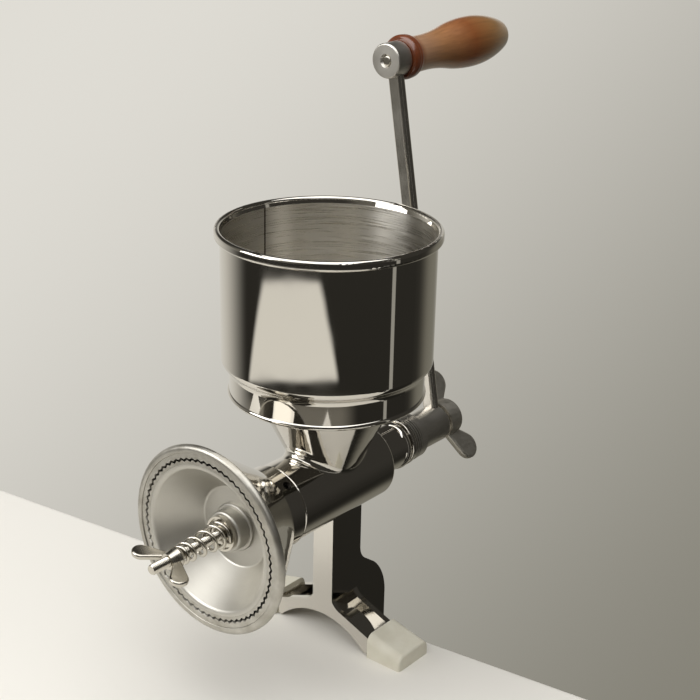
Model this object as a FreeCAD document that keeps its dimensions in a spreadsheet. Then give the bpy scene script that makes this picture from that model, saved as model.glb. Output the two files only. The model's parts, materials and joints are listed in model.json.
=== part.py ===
import FreeCAD, Part
import math
import os
import Sketcher
from FreeCAD import Placement, Rotation, Vector

# Hand grain mill, clamped to a table edge. Millimetres, +Z up.
# The table top is z = 0, the hopper's axis is x = y = 0 and the barrel runs along Y.
# The grinding dish faces -Y and the crank is at +Y, behind the table's edge.

# Driving dimensions, filled into the spreadsheet
SIZES = {
    # Barrel with its funnel and bearing neck, measured from the barrel's axis
    "axis_height": 106.0,
    "barrel_radius": 23.3,
    "barrel_front": -44.0,
    "barrel_rear": 38.0,
    "barrel_edge": 2.0,
    "barrel_bore": 19.0,
    "bore_rear": 30.0,
    "spigot_radius": 20.5,
    "spigot_front": -60.0,
    "neck_radius": 14.5,
    "neck_rear": 66.8,
    "neck_bead_front": 59.9,
    "neck_bead_rear": 65.6,
    "neck_bead_round": 4.6,
    "neck_groove": 13.6,
    "neck_ring_radius": 15.2,
    "neck_ring_edge": 0.8,
    "neck_ring_rear": 70.6,
    "bush_seat": 9.5,
    "bush_flange": 10.5,
    "bush_rear": 71.2,
    "funnel_foot": 13.3,
    "funnel_top": 40.0,
    "funnel_flange": 41.0,
    "funnel_height": 57.2,
    "funnel_flange_thick": 4.2,
    "funnel_blend": 4.0,
    "throat_spigot": 33.0,
    "throat_spigot_top": 66.0,
    "throat_radius": 30.5,
    "throat_foot": 10.0,
    # Hopper, measured from the barrel's axis
    "hopper_sheet": 1.2,
    "hopper_hole": 33.3,
    "hopper_skirt": 56.1,
    "hopper_bead": 57.0,
    "hopper_bead_top": 60.4,
    "hopper_wall": 60.7,
    "shoulder_low": 71.5,
    "shoulder_high": 80.0,
    "rim_centre": 62.0,
    "rim_height": 153.0,
    "rim_half_width": 1.8,
    "rim_straight": 1.9,
    # Stand: post, legs and the clamp arm behind the table edge
    "post_half": 7.5,
    "post_front": -1.0,
    "post_rear": 25.8,
    "post_top": 96.0,
    "post_foot": 16.0,
    "leg_rear": 23.2,
    "leg_root_height": 36.0,
    "leg_root_reach": 14.5,
    "leg_root_top": 20.2,
    "leg_fillet": 11.0,
    "leg_mouth": 37.0,
    "leg_mouth_top": 11.5,
    "leg_end": 58.0,
    "leg_end_top": 6.4,
    "leg_toe": 33.0,
    "leg_clear": 0.7,
    "arch_radius": 45.2,
    "channel_front": 2.4,
    "channel_rear": 19.4,
    "channel_web": 3.2,
    "channel_bend": 33.0,
    "channel_end_floor": 3.6,
    "channel_stop": 37.0,
    "channel_head": 40.0,
    "stand_edge": 1.0,
    "arm_half": 7.5,
    "arm_start": 52.0,
    "arm_neck_y": 31.7,
    "arm_neck_z": 42.3,
    "arm_neck_round": 12.0,
    "arm_shoulder_y": 40.0,
    "arm_shoulder_z": 36.4,
    "arm_shoulder_end": 12.0,
    "arm_shoulder_round": 36.0,
    "arm_rear": 51.8,
    "arm_inside": 37.5,
    "arm_under": 11.0,
    "arm_under_round": 8.0,
    "arm_corner_round": 14.0,
    "jaw_inside": -66.0,
    "jaw_under": -80.0,
    "jaw_round": 6.5,
    # Clamp screw, pad and sliding bar under the table
    "clamp_y": 10.0,
    "clamp_boss_radius": 11.0,
    "clamp_boss_top": -62.0,
    "clamp_boss_foot": -84.0,
    "clamp_screw_radius": 6.0,
    "screw_neck_radius": 4.0,
    "screw_neck_top": -35.0,
    "screw_neck_foot": -40.0,
    "screw_head_radius": 8.5,
    "screw_head_top": -112.0,
    "screw_head_foot": -126.0,
    "pad_radius": 14.0,
    "pad_top": -30.0,
    "pad_foot": -37.0,
    "pad_edge": 1.5,
    "bar_radius": 3.2,
    "bar_half": 36.0,
    "bar_height": -119.0,
    "knob_radius": 5.5,
    "knob_flat": 1.4,
    # Rubber foot caps
    "cap_mouth": 37.05,
    "cap_tip": 61.6,
    "cap_front": -2.8,
    "cap_rear": 25.4,
    "cap_floor": 2.5,
    "cap_mouth_top": 15.4,
    "cap_tip_top": 9.4,
    "cap_shoulder": 5.0,
    "cap_edge": 1.4,
    # Grinding head, measured along the barrel's axis
    "sleeve_radius": 24.4,
    "sleeve_rear": -44.5,
    "sleeve_front": -56.5,
    "bell_foot_radius": 29.5,
    "bell_foot": -61.0,
    "bell_foot_round": 6.0,
    "bell_mouth_radius": 53.0,
    "bell_mouth": -95.3,
    "lip_radius": 54.9,
    "lip_rear": -97.0,
    "lip_front": -97.4,
    "lip_face": -100.0,
    "lip_round": 2.6,
    "lip_edge": 0.5,
    "seat_mouth": 50.4,
    "seat_depth": 42.3,
    "burr_front": -99.4,
    "burr_back": -84.9,
    "burr_bore_front": 47.0,
    "burr_bore_back": 39.2,
    "chamber_radius": 21.5,
    "chamber_back": -61.0,
    "grub_radius": 2.5,
    "grub_station": -50.0,
    "grub_tip": 20.6,
    "grub_top": 23.2,
    "grub_socket": 1.3,
    "grub_socket_deep": 1.4,
    "grub_angle": 54.0,
    "disc_front": -99.2,
    "disc_back": -84.6,
    "disc_radius_front": 46.45,
    "disc_radius_back": 38.5,
    "dish_mouth": 41.7,
    "dish_floor_radius": 23.9,
    "dish_floor": -76.7,
    "dish_sheet": 2.0,
    "dish_mouth_round": 3.0,
    "dish_floor_round": 1.6,
    "dish_wall": 2.6,
    "dish_flange": 44.0,
    "dish_flange_back": -97.7,
    "tooth_count": 67,
    "tooth_deep": 1.05,
    "tooth_half": 1.9,
    "hub_radius": 12.0,
    "hub_front": -86.0,
    "hub_edge": 1.4,
    "hub_foot": 13.9,
    "hub_foot_front": -78.6,
    "hub_foot_edge": 0.9,
    "hub_tail_radius": 10.0,
    "hub_tail": -66.0,
    "hub_slot_half": 2.3,
    "hub_slot_floor": -73.0,
    "pin_radius": 2.0,
    "pin_half": 9.0,
    "pin_station": -68.6,
    "cup_radius": 10.2,
    "cup_floor": -87.2,
    "cup_rim": -88.8,
    "cup_wall": 1.2,
    # Conical pressure spring
    "wire_diameter": 2.2,
    "coil_big": 7.2,
    "coil_small": 4.6,
    "coil_start": -88.5,
    "coil_stop": -120.0,
    "coil_turns": 5.5,
    "coil_closing": 0.45,
    # Front wing nut and its washer
    "seat_radius": 5.8,
    "seat_rear": -121.45,
    "seat_front": -122.4,
    "nut_rear": -122.6,
    "nut_front": -129.0,
    "nut_base": 5.8,
    "nut_nose": 4.4,
    "nut_wing_root": 3.8,
    "nut_wing_back": -123.0,
    "nut_wing_low": -128.6,
    "nut_tip_x": 14.4,
    "nut_tip_y": -134.2,
    "nut_tip_round": 5.2,
    "nut_wing_thick": 3.2,
    "nut_wing_edge": 1.1,
    "nut_turned": 11.0,
    # Drive shaft, feed auger and rear thrust stack
    "thread_radius": 3.0,
    "shaft_front": -140.5,
    "shaft_chamfer": 0.6,
    "hub_seat_radius": 5.0,
    "hub_seat_front": -90.5,
    "shaft_radius": 6.0,
    "shaft_step": -62.0,
    "crank_seat_start": 77.3,
    "rear_thread_start": 109.6,
    "shaft_rear": 121.0,
    "running_gap": 0.05,
    "loose_gap": 0.3,
    "auger_front": -59.0,
    "auger_rear": 28.0,
    "auger_core": 9.0,
    "auger_radius": 18.4,
    "auger_flight": 3.0,
    "auger_pitch": 24.0,
    "auger_turns": 3.4,
    "thrust_radius": 14.6,
    "thrust_thick": 1.5,
    "thrust_step": 2.0,
    "thrust_start": 71.4,
    "thrust_count": 3,
    # Crank, grip and rear wing nut; the crank leans as it stands at rest
    "crank_lean": 10.0,
    "crank_collar_radius": 14.4,
    "crank_collar_rear": 82.6,
    "crank_hub_radius": 12.0,
    "crank_hub_start": 84.4,
    "crank_hub_rear": 110.6,
    "crank_hub_edge": 1.6,
    "crank_station": 107.0,
    "crank_radius": 232.0,
    "arm_bar_width": 9.6,
    "arm_bar_thick": 6.4,
    "arm_bar_edge": 2.2,
    "boss_radius": 10.6,
    "boss_front": -8.5,
    "boss_rear": 4.4,
    "boss_edge": 1.0,
    "boss_sink": 4.2,
    "boss_sink_deep": 1.4,
    "grip_tilt": 1.0,
    "spindle_radius": 3.2,
    "spindle_head": -7.5,
    "grip_start": 4.8,
    "grip_start_radius": 12.2,
    "grip_bead": 13.4,
    "grip_bead_at": 9.7,
    "grip_bead_end": 14.6,
    "grip_bead_end_radius": 11.2,
    "grip_neck": 11.0,
    "grip_neck_at": 27.0,
    "grip_turn_at": 51.5,
    "grip_turn": 13.5,
    "grip_sway_round": 121.3,
    "grip_belly": 16.0,
    "grip_belly_at": 76.0,
    "grip_tail_round": 94.0,
    "grip_tail": 10.9,
    "grip_tail_at": 106.5,
    "grip_end": 5.0,
    "grip_end_at": 114.4,
    "grip_end_round": 16.0,
    "grip_screw_radius": 4.6,
    "grip_screw_start": 114.7,
    "grip_screw_end": 116.2,
    "washer_radius": 11.0,
    "washer_front": 110.8,
    "washer_rear": 112.2,
    "cap_nut_front": 112.4,
    "cap_nut_rear": 124.5,
    "cap_nut_radius": 11.9,
    "cap_nut_nose": 9.9,
    "cap_nut_dome_at": 122.5,
    "cap_nut_dome": 2.0,
    "cap_nut_bore_end": 122.0,
    "cap_wing_root": 10.5,
    "cap_wing_front": 112.9,
    "cap_wing_rear": 123.6,
    "cap_wing_root_rear": 9.0,
    "cap_wing_x": 22.8,
    "cap_wing_y": 126.2,
    "cap_wing_round": 8.6,
    "cap_wing_thick": 5.0,
    "cap_wing_edge": 1.9,
    "cap_nut_turned": 53.7,
}

doc = FreeCAD.newDocument("grain_mill")
sheet = doc.addObject("Spreadsheet::Sheet", "Sizes")
for row, (alias, number) in enumerate(SIZES.items(), start=1):
    sheet.set(f"A{row}", alias)
    sheet.set(f"B{row}", str(number))
    sheet.setAlias(f"B{row}", alias)
doc.recompute()


class Size:
    """A length that carries its number and its spreadsheet formula together."""

    def __init__(self, number, text):
        self.number = number
        self.text = text

    def __add__(self, other):
        other = as_size(other)
        return Size(self.number + other.number, f"({self.text} + {other.text})")

    def __sub__(self, other):
        other = as_size(other)
        return Size(self.number - other.number, f"({self.text} - {other.text})")

    def __mul__(self, other):
        other = as_size(other)
        return Size(self.number * other.number, f"({self.text} * {other.text})")

    def __truediv__(self, other):
        other = as_size(other)
        return Size(self.number / other.number, f"({self.text} / {other.text})")

    def __neg__(self):
        return Size(-self.number, f"(0 - {self.text})")


def as_size(value):
    """Let plain counts such as 0 and 2 stand beside sizes."""
    return value if isinstance(value, Size) else Size(float(value), f"({value})")


def root(size):
    """Square root of a size, with its formula."""
    return Size(math.sqrt(size.number), f"sqrt({size.text})")


class Sheet:
    """Reads a driving dimension by its alias."""

    def __getattr__(self, alias):
        return Size(float(sheet.get(alias)), f"Sizes.{alias}")


d = Sheet()
NODES = []


# Sketching and feature helpers


def bind(owner, prop, size):
    """Tie one property to the spreadsheet."""
    owner.setExpression(prop, as_size(size).text)


def new_body(label, frame=None):
    """One sub-part with its own label and placement."""
    body = doc.addObject("PartDesign::Body", label)
    body.Label = label
    body.Placement = frame or axle_frame()
    NODES.append(body)
    return body


def axle_frame():
    """Frame on the barrel's axis, under the hopper's centre."""
    return Placement(Vector(0, 0, d.axis_height.number), Rotation())


def table_frame():
    """Frame on the table top, under the hopper's centre."""
    return Placement()


def turned_frame(degrees):
    """Axle frame turned about the barrel's axis."""
    return axle_frame().multiply(Placement(Vector(), Rotation(Vector(0, 1, 0), degrees)))


def crank_frame():
    """Axle frame leaned over with the crank."""
    return turned_frame(-d.crank_lean.number)


def grip_frame():
    """Frame at the middle of the crank's boss, along the grip."""
    reach = Vector(0, d.crank_station.number, d.crank_radius.number)
    tilt = Rotation(Vector(1, 0, 0), d.grip_tilt.number)
    return crank_frame().multiply(Placement(reach, tilt))


def new_sketch(body, role, offset=None):
    """Empty sketch on one of the body's own planes."""
    sketch = body.newObject("Sketcher::SketchObject", f"{body.Name}_sketch")
    plane = next(f for f in body.Origin.OriginFeatures if f.Role == role)
    sketch.AttachmentSupport = [(plane, "")]
    sketch.MapMode = "FlatFace"
    if offset is not None:
        sketch.AttachmentOffset = Placement(Vector(0, 0, offset.number), Rotation())
        bind(sketch, "AttachmentOffset.Base.z", offset)
    return sketch


def pin_point(sketch, geo, end, across, up):
    """Fix one sketch point by two dimensions from the origin."""
    for kind, size in (("DistanceX", across), ("DistanceY", up)):
        rule = Sketcher.Constraint(kind, -1, 1, geo, end, size.number)
        bind(sketch, f"Constraints[{sketch.addConstraint(rule)}]", size)


def arc_between(start, stop, radius):
    """Arc from start to stop; a positive radius turns left, a negative one right."""
    chord = stop - start
    side = Vector(-chord.y, chord.x, 0).normalize()
    rise = math.sqrt(max(radius**2 - (chord.Length / 2) ** 2, 0.0))
    centre = start + chord * 0.5 + side * math.copysign(rise, radius)
    first, last = (start, stop) if radius > 0 else (stop, start)
    angles = [math.atan2(p.y - centre.y, p.x - centre.x) for p in (first, last)]
    circle = Part.Circle(centre, Vector(0, 0, 1), abs(radius))
    return Part.ArcOfCircle(circle, angles[0], angles[1])


def outline(body, role, corners, offset=None):
    """Closed outline. A corner is (across, up), or (across, up, radius) before an arc."""
    sketch = new_sketch(body, role, offset)
    corners = [tuple(as_size(value) for value in corner) for corner in corners]
    points = [Vector(c[0].number, c[1].number, 0) for c in corners]
    ends = []
    for index, corner in enumerate(corners):
        start = points[index]
        stop = points[(index + 1) % len(points)]
        if len(corner) == 3:
            geo = sketch.addGeometry(arc_between(start, stop, corner[2].number), False)
            ends.append((geo, 1, 2) if corner[2].number > 0 else (geo, 2, 1))
        else:
            geo = sketch.addGeometry(Part.LineSegment(start, stop), False)
            ends.append((geo, 1, 2))
    for index, corner in enumerate(corners):
        geo, first, last = ends[index]
        following = ends[(index + 1) % len(ends)]
        sketch.addConstraint(Sketcher.Constraint("Coincident", geo, last, following[0], following[1]))
        pin_point(sketch, geo, first, corner[0], corner[1])
        if len(corner) == 3:
            rule = Sketcher.Constraint("Radius", geo, abs(corner[2].number))
            radius = corner[2] if corner[2].number > 0 else -corner[2]
            bind(sketch, f"Constraints[{sketch.addConstraint(rule)}]", radius)
    return sketch


def rounded(before, corner, after, radius):
    """Two corners in place of one, with an arc between them that is tangent to both sides."""
    points = [Vector(*(as_size(value).number for value in place), 0) for place in (before, corner, after)]
    back = (points[0] - points[1]).normalize()
    ahead = (points[2] - points[1]).normalize()
    reach = radius.number / math.tan(back.getAngle(ahead) / 2)
    first = points[1] + back * reach
    last = points[1] + ahead * reach
    side = 1 if ahead.cross(back).z > 0 else -1
    return [(first.x, first.y, radius * side), (last.x, last.y)]


def disc(body, role, across, up, radius, offset=None):
    """Sketch of one circle."""
    sketch = new_sketch(body, role, offset)
    across, up, radius = (as_size(value) for value in (across, up, radius))
    circle = Part.Circle(Vector(across.number, up.number, 0), Vector(0, 0, 1), radius.number)
    geo = sketch.addGeometry(circle, False)
    pin_point(sketch, geo, 3, across, up)
    rule = Sketcher.Constraint("Radius", geo, radius.number)
    bind(sketch, f"Constraints[{sketch.addConstraint(rule)}]", radius)
    return sketch


def feature(body, kind, sketch, **sizes):
    """Sketch-based feature with its lengths bound to the sheet."""
    made = body.newObject(f"PartDesign::{kind}", f"{body.Name}_{kind}")
    made.Profile = sketch
    for prop, size in sizes.items():
        bind(made, prop, size)
    return made


def turn(body, sketch, kind="Revolution"):
    """Solid or groove of revolution about the sketch's upright axis."""
    made = feature(body, kind, sketch)
    made.ReferenceAxis = (sketch, ["V_Axis"])
    made.Angle = 360
    doc.recompute()
    return made


def extrude(body, sketch, length, kind="Pad", reverse=False, both=False):
    """Pad or pocket of one length, on one side of its sketch or on both."""
    made = feature(body, kind, sketch, Length=length)
    made.Reversed = reverse
    made.Midplane = both
    doc.recompute()
    return made


def cut(body, sketch, length, reverse=False, both=False):
    """Pocket that has to remove something."""
    before = body.Shape.Volume
    made = extrude(body, sketch, length, "Pocket", reverse, both)
    if made.Shape.Volume > before - 1e-3:
        raise RuntimeError(f"{body.Label}: a pocket cuts nothing")
    return made


def edge_names(shape, wanted):
    """Names of the edges for which wanted(edge) is true."""
    return [f"Edge{i}" for i, edge in enumerate(shape.Edges, start=1) if wanted(edge)]


def soften(body, base, wanted, size, kind="Fillet"):
    """Fillet or chamfer on chosen edges."""
    names = edge_names(base.Shape, wanted)
    made = body.newObject(f"PartDesign::{kind}", f"{body.Name}_{kind}")
    made.Base = (base, names)
    bind(made, "Radius" if kind == "Fillet" else "Size", size)
    doc.recompute()
    return made


def repeat(body, base, count):
    """Polar pattern of a feature about the barrel's axis."""
    made = body.newObject("PartDesign::PolarPattern", f"{body.Name}_pattern")
    made.Originals = [base]
    axis = next(f for f in body.Origin.OriginFeatures if f.Role == "Y_Axis")
    made.Axis = (axis, [""])
    made.Angle = 360
    bind(made, "Occurrences", count)
    body.Tip = made
    doc.recompute()
    return made


def mirror(body, bases, role="YZ_Plane"):
    """Mirror image of features across one of the body's planes."""
    made = body.newObject("PartDesign::Mirrored", f"{body.Name}_mirror")
    made.Originals = bases
    plane = next(f for f in body.Origin.OriginFeatures if f.Role == role)
    made.MirrorPlane = (plane, [""])
    body.Tip = made
    doc.recompute()
    return made


def ring(label, inner, outer, rear, front, frame=None):
    """Plain washer, bush or tube about the barrel's axis."""
    body = new_body(label, frame)
    corners = [(inner, front), (outer, front), (outer, rear), (inner, rear)]
    turn(body, outline(body, "XY_Plane", corners))
    return body


def group(label, pieces, frame=None):
    """Identical pieces that share one node as separate solids."""
    node = doc.addObject("Part::Compound", label)
    node.Label = label
    node.Links = pieces
    node.Placement = frame or axle_frame()
    NODES.append(node)
    return node


# Body and stand


def barrel_housing():
    """Barrel, funnel throat and bearing neck, one polished casting."""
    body = new_body("barrel_housing")
    turn(body, outline(body, "XY_Plane", [
        (0, d.spigot_front),
        (d.spigot_radius, d.spigot_front),
        (d.spigot_radius, d.barrel_front),
        (d.barrel_radius - d.stand_edge, d.barrel_front, d.stand_edge),
        (d.barrel_radius, d.barrel_front + d.stand_edge),
        (d.barrel_radius, d.barrel_rear - d.barrel_edge, d.barrel_edge),
        (d.barrel_radius - d.barrel_edge, d.barrel_rear),
        (d.neck_radius, d.barrel_rear),
        (d.neck_radius, d.neck_bead_front, d.neck_bead_round),
        (d.neck_radius, d.neck_bead_rear),
        (d.neck_groove, d.neck_bead_rear),
        (d.neck_groove, d.neck_rear),
        (d.neck_ring_radius - d.neck_ring_edge, d.neck_rear, d.neck_ring_edge),
        (d.neck_ring_radius, d.neck_rear + d.neck_ring_edge),
        (d.neck_ring_radius, d.neck_ring_rear - d.neck_ring_edge, d.neck_ring_edge),
        (d.neck_ring_radius - d.neck_ring_edge, d.neck_ring_rear),
        (0, d.neck_ring_rear),
    ]))
    funnel = turn(body, outline(body, "XZ_Plane", [
        (0, 0),
        (d.funnel_foot, 0),
        (d.funnel_top, d.funnel_height - d.funnel_flange_thick),
        (d.funnel_flange, d.funnel_height - d.funnel_flange_thick),
        (d.funnel_flange, d.funnel_height),
        (d.throat_spigot, d.funnel_height),
        (d.throat_spigot, d.throat_spigot_top),
        (0, d.throat_spigot_top),
    ]))
    soften(body, funnel, is_funnel_foot, d.funnel_blend)
    turn(body, outline(body, "XY_Plane", [
        (0, d.spigot_front - 1),
        (d.barrel_bore, d.spigot_front - 1),
        (d.barrel_bore, d.bore_rear),
        (d.bush_seat, d.bore_rear),
        (d.bush_seat, d.neck_ring_rear + 1),
        (0, d.neck_ring_rear + 1),
    ]), "Groove")
    turn(body, outline(body, "XZ_Plane", [
        (0, 0),
        (d.throat_foot, 0),
        (d.throat_radius, d.funnel_height),
        (d.throat_radius, d.throat_spigot_top + 1),
        (0, d.throat_spigot_top + 1),
    ]), "Groove")


def is_funnel_foot(edge):
    """Edge where the funnel's cone meets the round barrel."""
    box = edge.BoundBox
    across = box.XLength > d.barrel_radius.number and box.YLength > d.barrel_radius.number
    return across and box.ZLength > d.barrel_edge.number


def clamp_stand():
    """Post, two legs with channelled tops, and the arm and jaw of the table clamp."""
    body = new_body("clamp_stand", table_frame())
    legs = outline(body, "XZ_Plane", leg_outline(), -d.post_front)
    extrude(body, legs, d.leg_rear - d.post_front, reverse=True)
    post = outline(body, "XZ_Plane", [
        (-d.post_half, d.post_foot),
        (d.post_half, d.post_foot),
        (d.post_half, d.post_top),
        (-d.post_half, d.post_top),
    ], -d.post_front)
    extrude(body, post, d.post_rear - d.post_front, reverse=True)
    channel = outline(body, "XZ_Plane", [
        (d.post_half, web_height(d.post_half), -(d.arch_radius + d.channel_web)),
        (d.channel_bend, web_height(d.channel_bend)),
        (d.channel_stop, d.channel_end_floor),
        (d.channel_stop, d.channel_head),
        (d.post_half, d.channel_head),
    ], -d.channel_front)
    groove = cut(body, channel, d.channel_rear - d.channel_front)
    mirror(body, [groove])
    extrude(body, outline(body, "YZ_Plane", arm_outline()), d.arm_half * 2, both=True)
    boss = disc(body, "XY_Plane", 0, d.clamp_y, d.clamp_boss_radius, d.clamp_boss_foot)
    extrude(body, boss, d.clamp_boss_top - d.clamp_boss_foot)
    hole = disc(body, "XY_Plane", 0, d.clamp_y, d.clamp_screw_radius + d.running_gap, d.clamp_boss_top)
    cut(body, hole, d.clamp_boss_top - d.clamp_boss_foot)
    saddle = disc(body, "XZ_Plane", 0, d.axis_height, d.barrel_radius)
    cut(body, saddle, d.post_rear * 4, both=True)


def web_height(across):
    """Height of the channel's floor, which runs parallel to the arch under it."""
    centre = d.leg_clear - root(d.arch_radius * d.arch_radius - d.leg_toe * d.leg_toe)
    outer = d.arch_radius + d.channel_web
    return centre + root(outer * outer - across * across)


def leg_outline():
    """Front outline of both legs: a sloping top on each side over one arch."""
    right = [
        (d.leg_toe, d.leg_clear),
        (d.leg_mouth, d.leg_clear),
        (d.leg_mouth, d.cap_floor),
        (d.leg_end, d.cap_floor),
        (d.leg_end, d.leg_end_top),
        (d.leg_mouth, d.leg_mouth_top),
        (d.leg_root_reach, d.leg_root_top, -d.leg_fillet),
        (d.post_half, d.leg_root_height),
    ]
    left = [(-d.post_half, d.leg_root_height, -d.leg_fillet)]
    left += [(-corner[0], corner[1]) for corner in reversed(right[1:-1])]
    left += [(-d.leg_toe, d.leg_clear, -d.arch_radius)]
    return right + left


def arm_outline():
    """Side outline of the clamp arm: back from the post, down, and under the table."""
    return [
        (d.leg_rear, d.arm_start),
        (d.leg_rear, d.arm_under),
        (d.arm_inside - d.arm_under_round, d.arm_under, -d.arm_under_round),
        (d.arm_inside, d.arm_under - d.arm_under_round),
        (d.arm_inside, d.jaw_inside + d.jaw_round, -d.jaw_round),
        (d.arm_inside - d.jaw_round, d.jaw_inside),
        (d.clamp_y, d.jaw_inside),
        (d.clamp_y, d.jaw_under),
        (d.arm_rear - d.arm_corner_round, d.jaw_under, d.arm_corner_round),
        (d.arm_rear, d.jaw_under + d.arm_corner_round),
        (d.arm_rear, d.arm_shoulder_end, d.arm_shoulder_round),
        (d.arm_shoulder_y, d.arm_shoulder_z),
        (d.arm_neck_y, d.arm_neck_z, -d.arm_neck_round),
        (d.post_rear, d.arm_start),
    ]


def foot_cap(label, side):
    """Off-white rubber cap pushed on the end of one leg; side is 1 for +X, -1 for -X."""
    body = new_body(label, table_frame())
    block = outline(body, "XZ_Plane", [
        (d.cap_mouth * side, 0),
        (d.cap_tip * side, 0),
        (d.cap_tip * side, d.cap_tip_top),
        (d.cap_mouth * side, d.cap_mouth_top),
    ], -d.cap_front)
    solid = extrude(body, block, d.cap_rear - d.cap_front, reverse=True)
    shoulders = soften(body, solid, is_cap_shoulder, d.cap_shoulder)
    soften(body, shoulders, lambda edge: is_cap_tip(edge, side), d.cap_edge)
    fit = d.running_gap
    socket = outline(body, "XZ_Plane", [
        ((d.cap_mouth - 1) * side, d.cap_floor),
        ((d.leg_end + fit) * side, d.cap_floor),
        ((d.leg_end + fit) * side, d.leg_end_top + fit),
        (d.leg_mouth * side, d.leg_mouth_top + fit),
        ((d.cap_mouth - 1) * side, d.leg_mouth_top + fit),
    ], fit - d.post_front)
    cut(body, socket, d.leg_rear - d.post_front + fit * 2)


def is_cap_shoulder(edge):
    """Long edge of the cap's sloping top."""
    box = edge.BoundBox
    return box.XLength > d.cap_floor.number and box.ZMin > d.cap_floor.number


def is_cap_tip(edge, side):
    """Edge round the cap's tip, above the floor."""
    box = edge.BoundBox
    at_tip = max(abs(box.XMin - d.cap_tip.number * side), abs(box.XMax - d.cap_tip.number * side)) < 1e-3
    return at_tip and box.ZMax > d.cap_floor.number


def hopper():
    """Thin spun cup: floor with a hole, skirt, shoulder, tall wall and rolled rim."""
    body = new_body("hopper")
    sheet_thick = d.hopper_sheet
    inner_wall = d.hopper_wall - sheet_thick
    inner_skirt = d.hopper_skirt - sheet_thick
    floor = d.funnel_height + sheet_thick
    step = d.hopper_wall - d.hopper_skirt
    lift = d.shoulder_high - d.shoulder_low
    middle = d.shoulder_low + lift / 2
    swing = (step * step + lift * lift) / (step * 4)
    low = d.rim_height - d.rim_straight / 2
    high = d.rim_height + d.rim_straight / 2
    inset = d.rim_centre - d.hopper_wall
    drop = d.rim_half_width - inset / 4
    bead_round = d.hopper_bead_top - d.funnel_height
    turn(body, outline(body, "XZ_Plane", [
        (d.hopper_hole, d.funnel_height),
        (d.hopper_skirt - sheet_thick, d.funnel_height, bead_round / 2 + sheet_thick / 4),
        (d.hopper_bead, d.funnel_height + bead_round / 2, bead_round / 2 + sheet_thick / 4),
        (d.hopper_skirt, d.hopper_bead_top),
        (d.hopper_skirt, d.shoulder_low, -swing),
        (d.hopper_skirt + step / 2, middle, swing),
        (d.hopper_wall, d.shoulder_high),
        (d.hopper_wall, low - drop, d.rim_half_width),
        (d.rim_centre + d.rim_half_width, low),
        (d.rim_centre + d.rim_half_width, high, d.rim_half_width),
        (d.rim_centre, high + d.rim_half_width, d.rim_half_width),
        (d.rim_centre - d.rim_half_width, high),
        (inner_wall, low),
        (inner_wall, d.shoulder_high, -swing),
        (inner_skirt + step / 2, middle, swing),
        (inner_skirt, d.shoulder_low),
        (inner_skirt, floor + sheet_thick, -sheet_thick),
        (inner_skirt - sheet_thick, floor),
        (d.hopper_hole, floor),
    ]))


def rear_bush():
    """Flanged bearing bush in the neck, round the shaft."""
    body = new_body("rear_bush")
    bore = d.shaft_radius + d.running_gap
    outside = d.bush_seat - d.running_gap
    turn(body, outline(body, "XY_Plane", [
        (bore, d.bore_rear),
        (outside, d.bore_rear),
        (outside, d.neck_ring_rear),
        (d.bush_flange, d.neck_ring_rear),
        (d.bush_flange, d.bush_rear),
        (bore, d.bush_rear),
    ]))


# Table clamp


def clamp_screw():
    """Clamp screw: neck for the pad, threaded stem and drilled head."""
    body = new_body("clamp_screw", table_frame())
    body.Placement = Placement(Vector(0, d.clamp_y.number, 0), Rotation())
    turn(body, outline(body, "XZ_Plane", [
        (0, d.screw_neck_top),
        (0, d.screw_head_foot),
        (d.screw_head_radius, d.screw_head_foot),
        (d.screw_head_radius, d.screw_head_top),
        (d.clamp_screw_radius, d.screw_head_top),
        (d.clamp_screw_radius, d.screw_neck_foot),
        (d.screw_neck_radius, d.screw_neck_foot),
        (d.screw_neck_radius, d.screw_neck_top),
    ]))
    hole = disc(body, "YZ_Plane", 0, d.bar_height, d.bar_radius + d.running_gap)
    cut(body, hole, d.screw_head_radius * 4, both=True)


def clamp_pad():
    """Swivel pad that bears on the table's underside."""
    body = new_body("clamp_pad", table_frame())
    body.Placement = Placement(Vector(0, d.clamp_y.number, 0), Rotation())
    bore = d.screw_neck_radius + d.running_gap
    socket = d.screw_neck_top + d.loose_gap
    turn(body, outline(body, "XZ_Plane", [
        (0, d.pad_top),
        (0, socket),
        (bore, socket),
        (bore, d.pad_foot),
        (d.screw_head_radius, d.pad_foot),
        (d.pad_radius, d.pad_top - d.pad_edge * 2),
        (d.pad_radius, d.pad_top - d.pad_edge, d.pad_edge),
        (d.pad_radius - d.pad_edge, d.pad_top),
    ]))


def clamp_handle():
    """Bar that slides through the screw's head, with a knob on each end."""
    frame = Placement(Vector(0, d.clamp_y.number, d.bar_height.number), Rotation())
    body = new_body("clamp_handle", frame)
    extrude(body, disc(body, "YZ_Plane", 0, 0, d.bar_radius), d.bar_half * 2, both=True)
    knobs = [handle_knob(f"knob_{name}", side) for name, side in (("right", 1), ("left", -1))]
    group("handle_knobs", knobs, frame)


def handle_knob(name, side):
    """Ball knob with a flat where it meets the bar's end; side is 1 for +X, -1 for -X."""
    ball = doc.addObject("Part::Sphere", f"{name}_ball")
    bind(ball, "Radius", d.knob_radius)
    space = doc.addObject("Part::Box", f"{name}_space")
    for prop in ("Length", "Width", "Height"):
        bind(space, prop, d.knob_radius * 2)
    reach = d.bar_half + d.knob_radius - d.knob_flat
    ball.Placement = Placement(Vector(side * reach.number, 0, 0), Rotation())
    start = d.bar_half if side > 0 else -(d.bar_half + d.knob_radius * 2)
    corner = Vector(start.number, -d.knob_radius.number, -d.knob_radius.number)
    space.Placement = Placement(corner, Rotation())
    knob = doc.addObject("Part::Common", name)
    knob.Base = ball
    knob.Tool = space
    return knob


# Grinding head


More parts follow.
